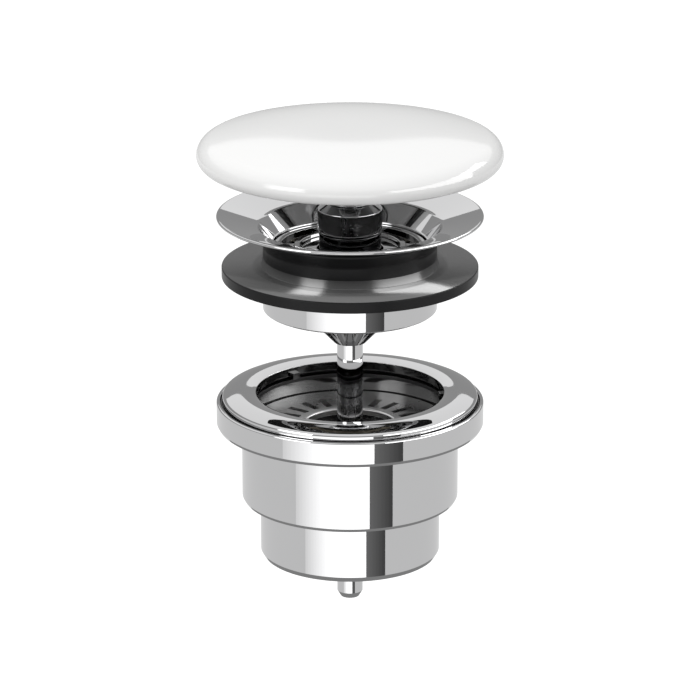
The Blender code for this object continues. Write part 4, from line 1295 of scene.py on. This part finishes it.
def make_bridge(sizes):
    """Ring on the floor of the body, three spokes and a bored hub."""
    finish = inner_plate()
    outer, foot, hub_top = extent("body_bridge")
    seat = hub_top - 0.0057
    ring_top = seat + 0.0025
    ring_inner = outer - 0.0032
    bore = 0.0050
    hub = 0.0065
    bite = 0.0008
    soft = sizes.soft_edge
    hub_mesh = turned(softened([
        (bore, hub_top, FINE),
        (hub, hub_top, soft),
        (hub, foot, soft),
        (bore, foot, FINE),
    ]), finish, facets=96)
    mesh = with_bars(hub_mesh, finish, count=3, first_angle=math.radians(90), inner_radius=hub - bite,
                     outer_radius=ring_inner + bite, width=0.0040,
                     bottom=seat + 0.0003, top=seat + 0.0035)
    ring_mesh = turned(ring_outline(ring_inner, outer, seat, ring_top, soft), finish, facets=144)
    mesh = joined_meshes(mesh, ring_mesh)
    add_piece("bridge_spoked", mesh, "body_bridge", finish)


def make_bush(sizes):
    """Flanged bush in the hub of the bridge."""
    flange, foot, top = extent("bridge_bush")
    flange_foot = top - 0.0010
    bore = 0.0033
    shank = 0.0047
    outline = softened([
        (bore, top, EASED),
        (flange, top, EASED),
        (flange, flange_foot, FINE),
        (shank, flange_foot),
        (shank, foot, 0.0003),
        (bore, foot, EASED),
    ])
    turned_piece("bush_turned", "bridge_bush", "brass", outline, facets=96)


class WASTE_OT_inside(bpy.types.Operator):
    """Make the slotted strainer, the bridge and the bush inside the body."""

    bl_idname = "waste.inside"
    bl_label = "Inside of the body"

    def execute(self, context):
        return build(context, make_strainer, make_bridge, make_bush)


# Stage


def empty_material(name):
    """Material whose node tree holds nothing but its output."""
    material = bpy.data.materials.new(name)
    material.use_nodes = True
    tree = material.node_tree
    tree.nodes.clear()
    return material, tree, tree.nodes.new("ShaderNodeOutputMaterial")


def glow_material(name):
    """Light of a card, read from its own points."""
    if name in bpy.data.materials:
        return bpy.data.materials[name]
    material, tree, leave = empty_material(name)
    glow = add_node(tree, "ShaderNodeAttribute", {}, attribute_name="glow").outputs["Fac"]
    light = made(tree, "ShaderNodeEmission", {"Strength": glow})
    feed(tree, leave, {"Surface": light})
    return material


def card(name, columns):
    """Card of quads between columns of (azimuth, glow, first point, last point); only gloss sees it."""
    verts = []
    glow = []
    for azimuth, strength, near, far in columns:
        angle = math.radians(azimuth)
        for distance, height in (near, far):
            verts.append((distance * math.sin(angle), -distance * math.cos(angle), height))
            glow.append(strength)
    faces = [(first, first + 1, first + 3, first + 2) for first in range(0, len(verts) - 2, 2)]
    mesh = bpy.data.meshes.new(name)
    mesh.from_pydata(verts, [], faces)
    mesh.attributes.new("glow", "FLOAT", "POINT").data.foreach_set("value", glow)
    mesh.materials.append(glow_material("Card light"))
    sheet = add_object(name, mesh)
    sheet.visible_camera = False
    sheet.visible_diffuse = False
    sheet.visible_shadow = False
    sheet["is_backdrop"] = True


def spread(stops, step=4.0):
    """Azimuths between stops of (azimuth, values...) with straight lines between the stops."""
    rows = []
    for first, last in zip(stops, stops[1:]):
        count = max(1, round((last[0] - first[0]) / step))
        for index in range(count):
            place = index / count
            rows.append(tuple(a + (b - a) * place for a, b in zip(first, last)))
    rows.append(tuple(stops[-1]))
    return rows


def upright_card(name, stops, distance, middle):
    """Standing card from stops of (azimuth, glow, lower elevation, upper elevation)."""
    columns = []
    for azimuth, strength, low, high in spread(stops):
        ends = [(distance, middle + distance * math.tan(math.radians(angle))) for angle in (low, high)]
        columns.append((azimuth, strength, ends[0], ends[1]))
    card(name, columns)


def lying_card(name, stops, near, far, height):
    """Card that lies over the floor from stops of (azimuth, glow)."""
    card(name, [(azimuth, strength, (near, height), (far, height)) for azimuth, strength in spread(stops)])


def light_path_mix(tree, camera_tone, gloss_tone, light_tone):
    """Tone seen by the camera, tone seen by gloss and through glass, and tone that lights."""
    path = tree.nodes.new("ShaderNodeLightPath").outputs
    seen = math_node(tree, "MAXIMUM", path["Is Glossy Ray"], path["Is Transmission Ray"])
    first = made(tree, "ShaderNodeMix", {"Factor": seen, "A": light_tone, "B": gloss_tone})
    return made(tree, "ShaderNodeMix", {
        "Factor": path["Is Camera Ray"], "A": first, "B": camera_tone})


def make_world(studio):
    """Even white world."""
    world = bpy.data.worlds.new("Studio")
    world.use_nodes = True
    tree = world.node_tree
    feed(tree, tree.nodes["Background"], {
        "Color": (1.0, 1.0, 1.0, 1.0), "Strength": light_path_mix(tree, 1.0, 1.0, studio.world_light)})
    bpy.context.scene.world = world


def make_floor(studio, height):
    """Plain pale disc far under the part."""
    work = bmesh.new()
    bmesh.ops.create_circle(work, cap_ends=True, segments=96, radius=2.6)
    bmesh.ops.translate(work, verts=work.verts, vec=(0.0, 0.0, height))
    mesh = bpy.data.meshes.new("floor")
    work.to_mesh(mesh)
    work.free()
    material, tree, leave = empty_material("Pale floor")
    cover = made(tree, "ShaderNodeBsdfDiffuse", {"Color": (0.55, 0.55, 0.55, 1.0)})
    tone = light_path_mix(tree, 0.62, studio.floor_tone, 0.0)
    own = made(tree, "ShaderNodeEmission", {"Strength": tone})
    both = made(tree, "ShaderNodeAddShader", {0: cover, 1: own})
    gloss = tree.nodes.new("ShaderNodeLightPath").outputs["Is Glossy Ray"]
    choice = made(tree, "ShaderNodeMixShader", {"Fac": gloss, 1: both, 2: own})
    feed(tree, leave, {"Surface": choice})
    mesh.materials.append(material)
    add_object("floor", mesh)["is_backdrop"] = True


def add_aimed(name, data, place, target):
    """Lamp or camera at a place, turned to a target."""
    item = add_object(name, data)
    item.location = place
    item.rotation_euler = (Vector(target) - Vector(place)).to_track_quat("-Z", "Y").to_euler()
    return item


def make_lamp(studio):
    """Large soft lamp over the cap, seen by matt surfaces only."""
    data = bpy.data.lights.new("Soft lamp", "AREA")
    data.shape = "DISK"
    data.size = 1.2
    data.energy = studio.key_power
    lamp = add_aimed("Soft lamp", data, (-0.5, -0.7, 1.2), (0.0, 0.0, 0.0))
    lamp.visible_glossy = False
    lamp.visible_camera = False


def make_camera(studio):
    """Camera at the photograph's place."""
    data = bpy.data.cameras.new("Camera")
    data.sensor_width = 36.0
    data.lens = studio.lens
    data.clip_start = 0.05
    data.clip_end = 20.0
    bpy.context.scene.camera = add_aimed("Camera", data, (0.0, -0.8802, 0.2712), (0.0, 0.0, -0.01813))


def make_cards(studio, middle, floor_height):
    """Wall, floor cards and soft boxes that the plate mirrors."""
    near, far = 0.12, 1.25
    under_far = 0.48
    box_distance = 1.5
    wall_distance = 2.3
    over_floor = floor_height + 0.002
    over_cards = floor_height + 0.004
    wall, under = studio.wall_tone, studio.underside_tone
    white, dark = studio.white_card, studio.dark_card
    left, right = studio.window_left, studio.window_right
    upright_card("wall_card", [(-180.0, wall, -7.0, 19.5), (180.0, wall, -7.0, 19.5)],
                 wall_distance, middle)
    lying_card("white_floor_card", [(-58.7, 0.98), (-20.0, white), (20.4, white)],
               near, far, over_floor)
    lying_card("underside_card", [(-180.0, under), (180.0, under)], 0.0, under_far, over_cards)
    lying_card("dark_floor_card", [(20.4, dark * 1.6), (45.5, dark * 0.55)], near, far, over_floor)
    upright_card("left_soft_box", [
        (-66.0, left * 0.3, -6.0, 20.0), (-57.0, left, -6.0, 20.0), (-33.0, left, -6.0, 20.0),
    ], box_distance, middle)
    upright_card("right_soft_box", [
        (29.0, right, -5.0, 9.0), (70.0, right, -3.0, 20.0), (100.0, right, 0.0, 31.0),
        (104.0, right, 20.0, 32.0), (131.0, right, 21.0, 35.0),
    ], box_distance, middle)


class WASTE_OT_stage(bpy.types.Operator):
    """Make the world, the floor, the cards, the lamp and the camera."""

    bl_idname = "waste.stage"
    bl_label = "Stage"

    def execute(self, context):
        studio = context.scene.waste_studio
        low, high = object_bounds()
        middle = (low.z + high.z) / 2
        floor_height = low.z - studio.floor_drop
        make_world(studio)
        make_floor(studio, floor_height)
        make_cards(studio, middle, floor_height)
        make_lamp(studio)
        make_camera(studio)
        return {"FINISHED"}


OPERATORS = (
    WASTE_OT_cap,
    WASTE_OT_stem,
    WASTE_OT_flange,
    WASTE_OT_washer,
    WASTE_OT_cartridge,
    WASTE_OT_draw_screw,
    WASTE_OT_ring,
    WASTE_OT_body,
    WASTE_OT_inside,
    WASTE_OT_stage,
)


class WASTE_PT_panel(bpy.types.Panel):
    """Sizes, finishes, light and the buttons that make each group."""

    bl_idname = "WASTE_PT_panel"
    bl_label = "Basin waste"
    bl_space_type = "VIEW_3D"
    bl_region_type = "UI"
    bl_category = "Waste"

    def draw(self, context):
        scene = context.scene
        for group in (scene.waste_sizes, scene.waste_finishes, scene.waste_studio):
            box = self.layout.box()
            for label in group.bl_rna.properties.keys():
                if label not in ("rna_type", "name"):
                    box.prop(group, label)
        for operator in OPERATORS:
            self.layout.operator(operator.bl_idname)


CLASSES = (WasteSizes, WasteFinishes, WasteStudio) + OPERATORS + (WASTE_PT_panel,)


def register():
    """Register the classes and hang the settings on the scene."""
    for item in CLASSES:
        bpy.utils.register_class(item)
    bpy.types.Scene.waste_sizes = PointerProperty(type=WasteSizes)
    bpy.types.Scene.waste_finishes = PointerProperty(type=WasteFinishes)
    bpy.types.Scene.waste_studio = PointerProperty(type=WasteStudio)


def unregister():
    """Take the settings and the classes away again."""
    del bpy.types.Scene.waste_studio
    del bpy.types.Scene.waste_finishes
    del bpy.types.Scene.waste_sizes
    for item in reversed(CLASSES):
        bpy.utils.unregister_class(item)


def main():
    """Make every group in order, then the stage."""
    register()
    bpy.context.scene.view_settings.view_transform = "Standard"
    for operator in OPERATORS:
        group, label = operator.bl_idname.split(".")
        getattr(getattr(bpy.ops, group), label)()


if __name__ == "__main__":
    main()
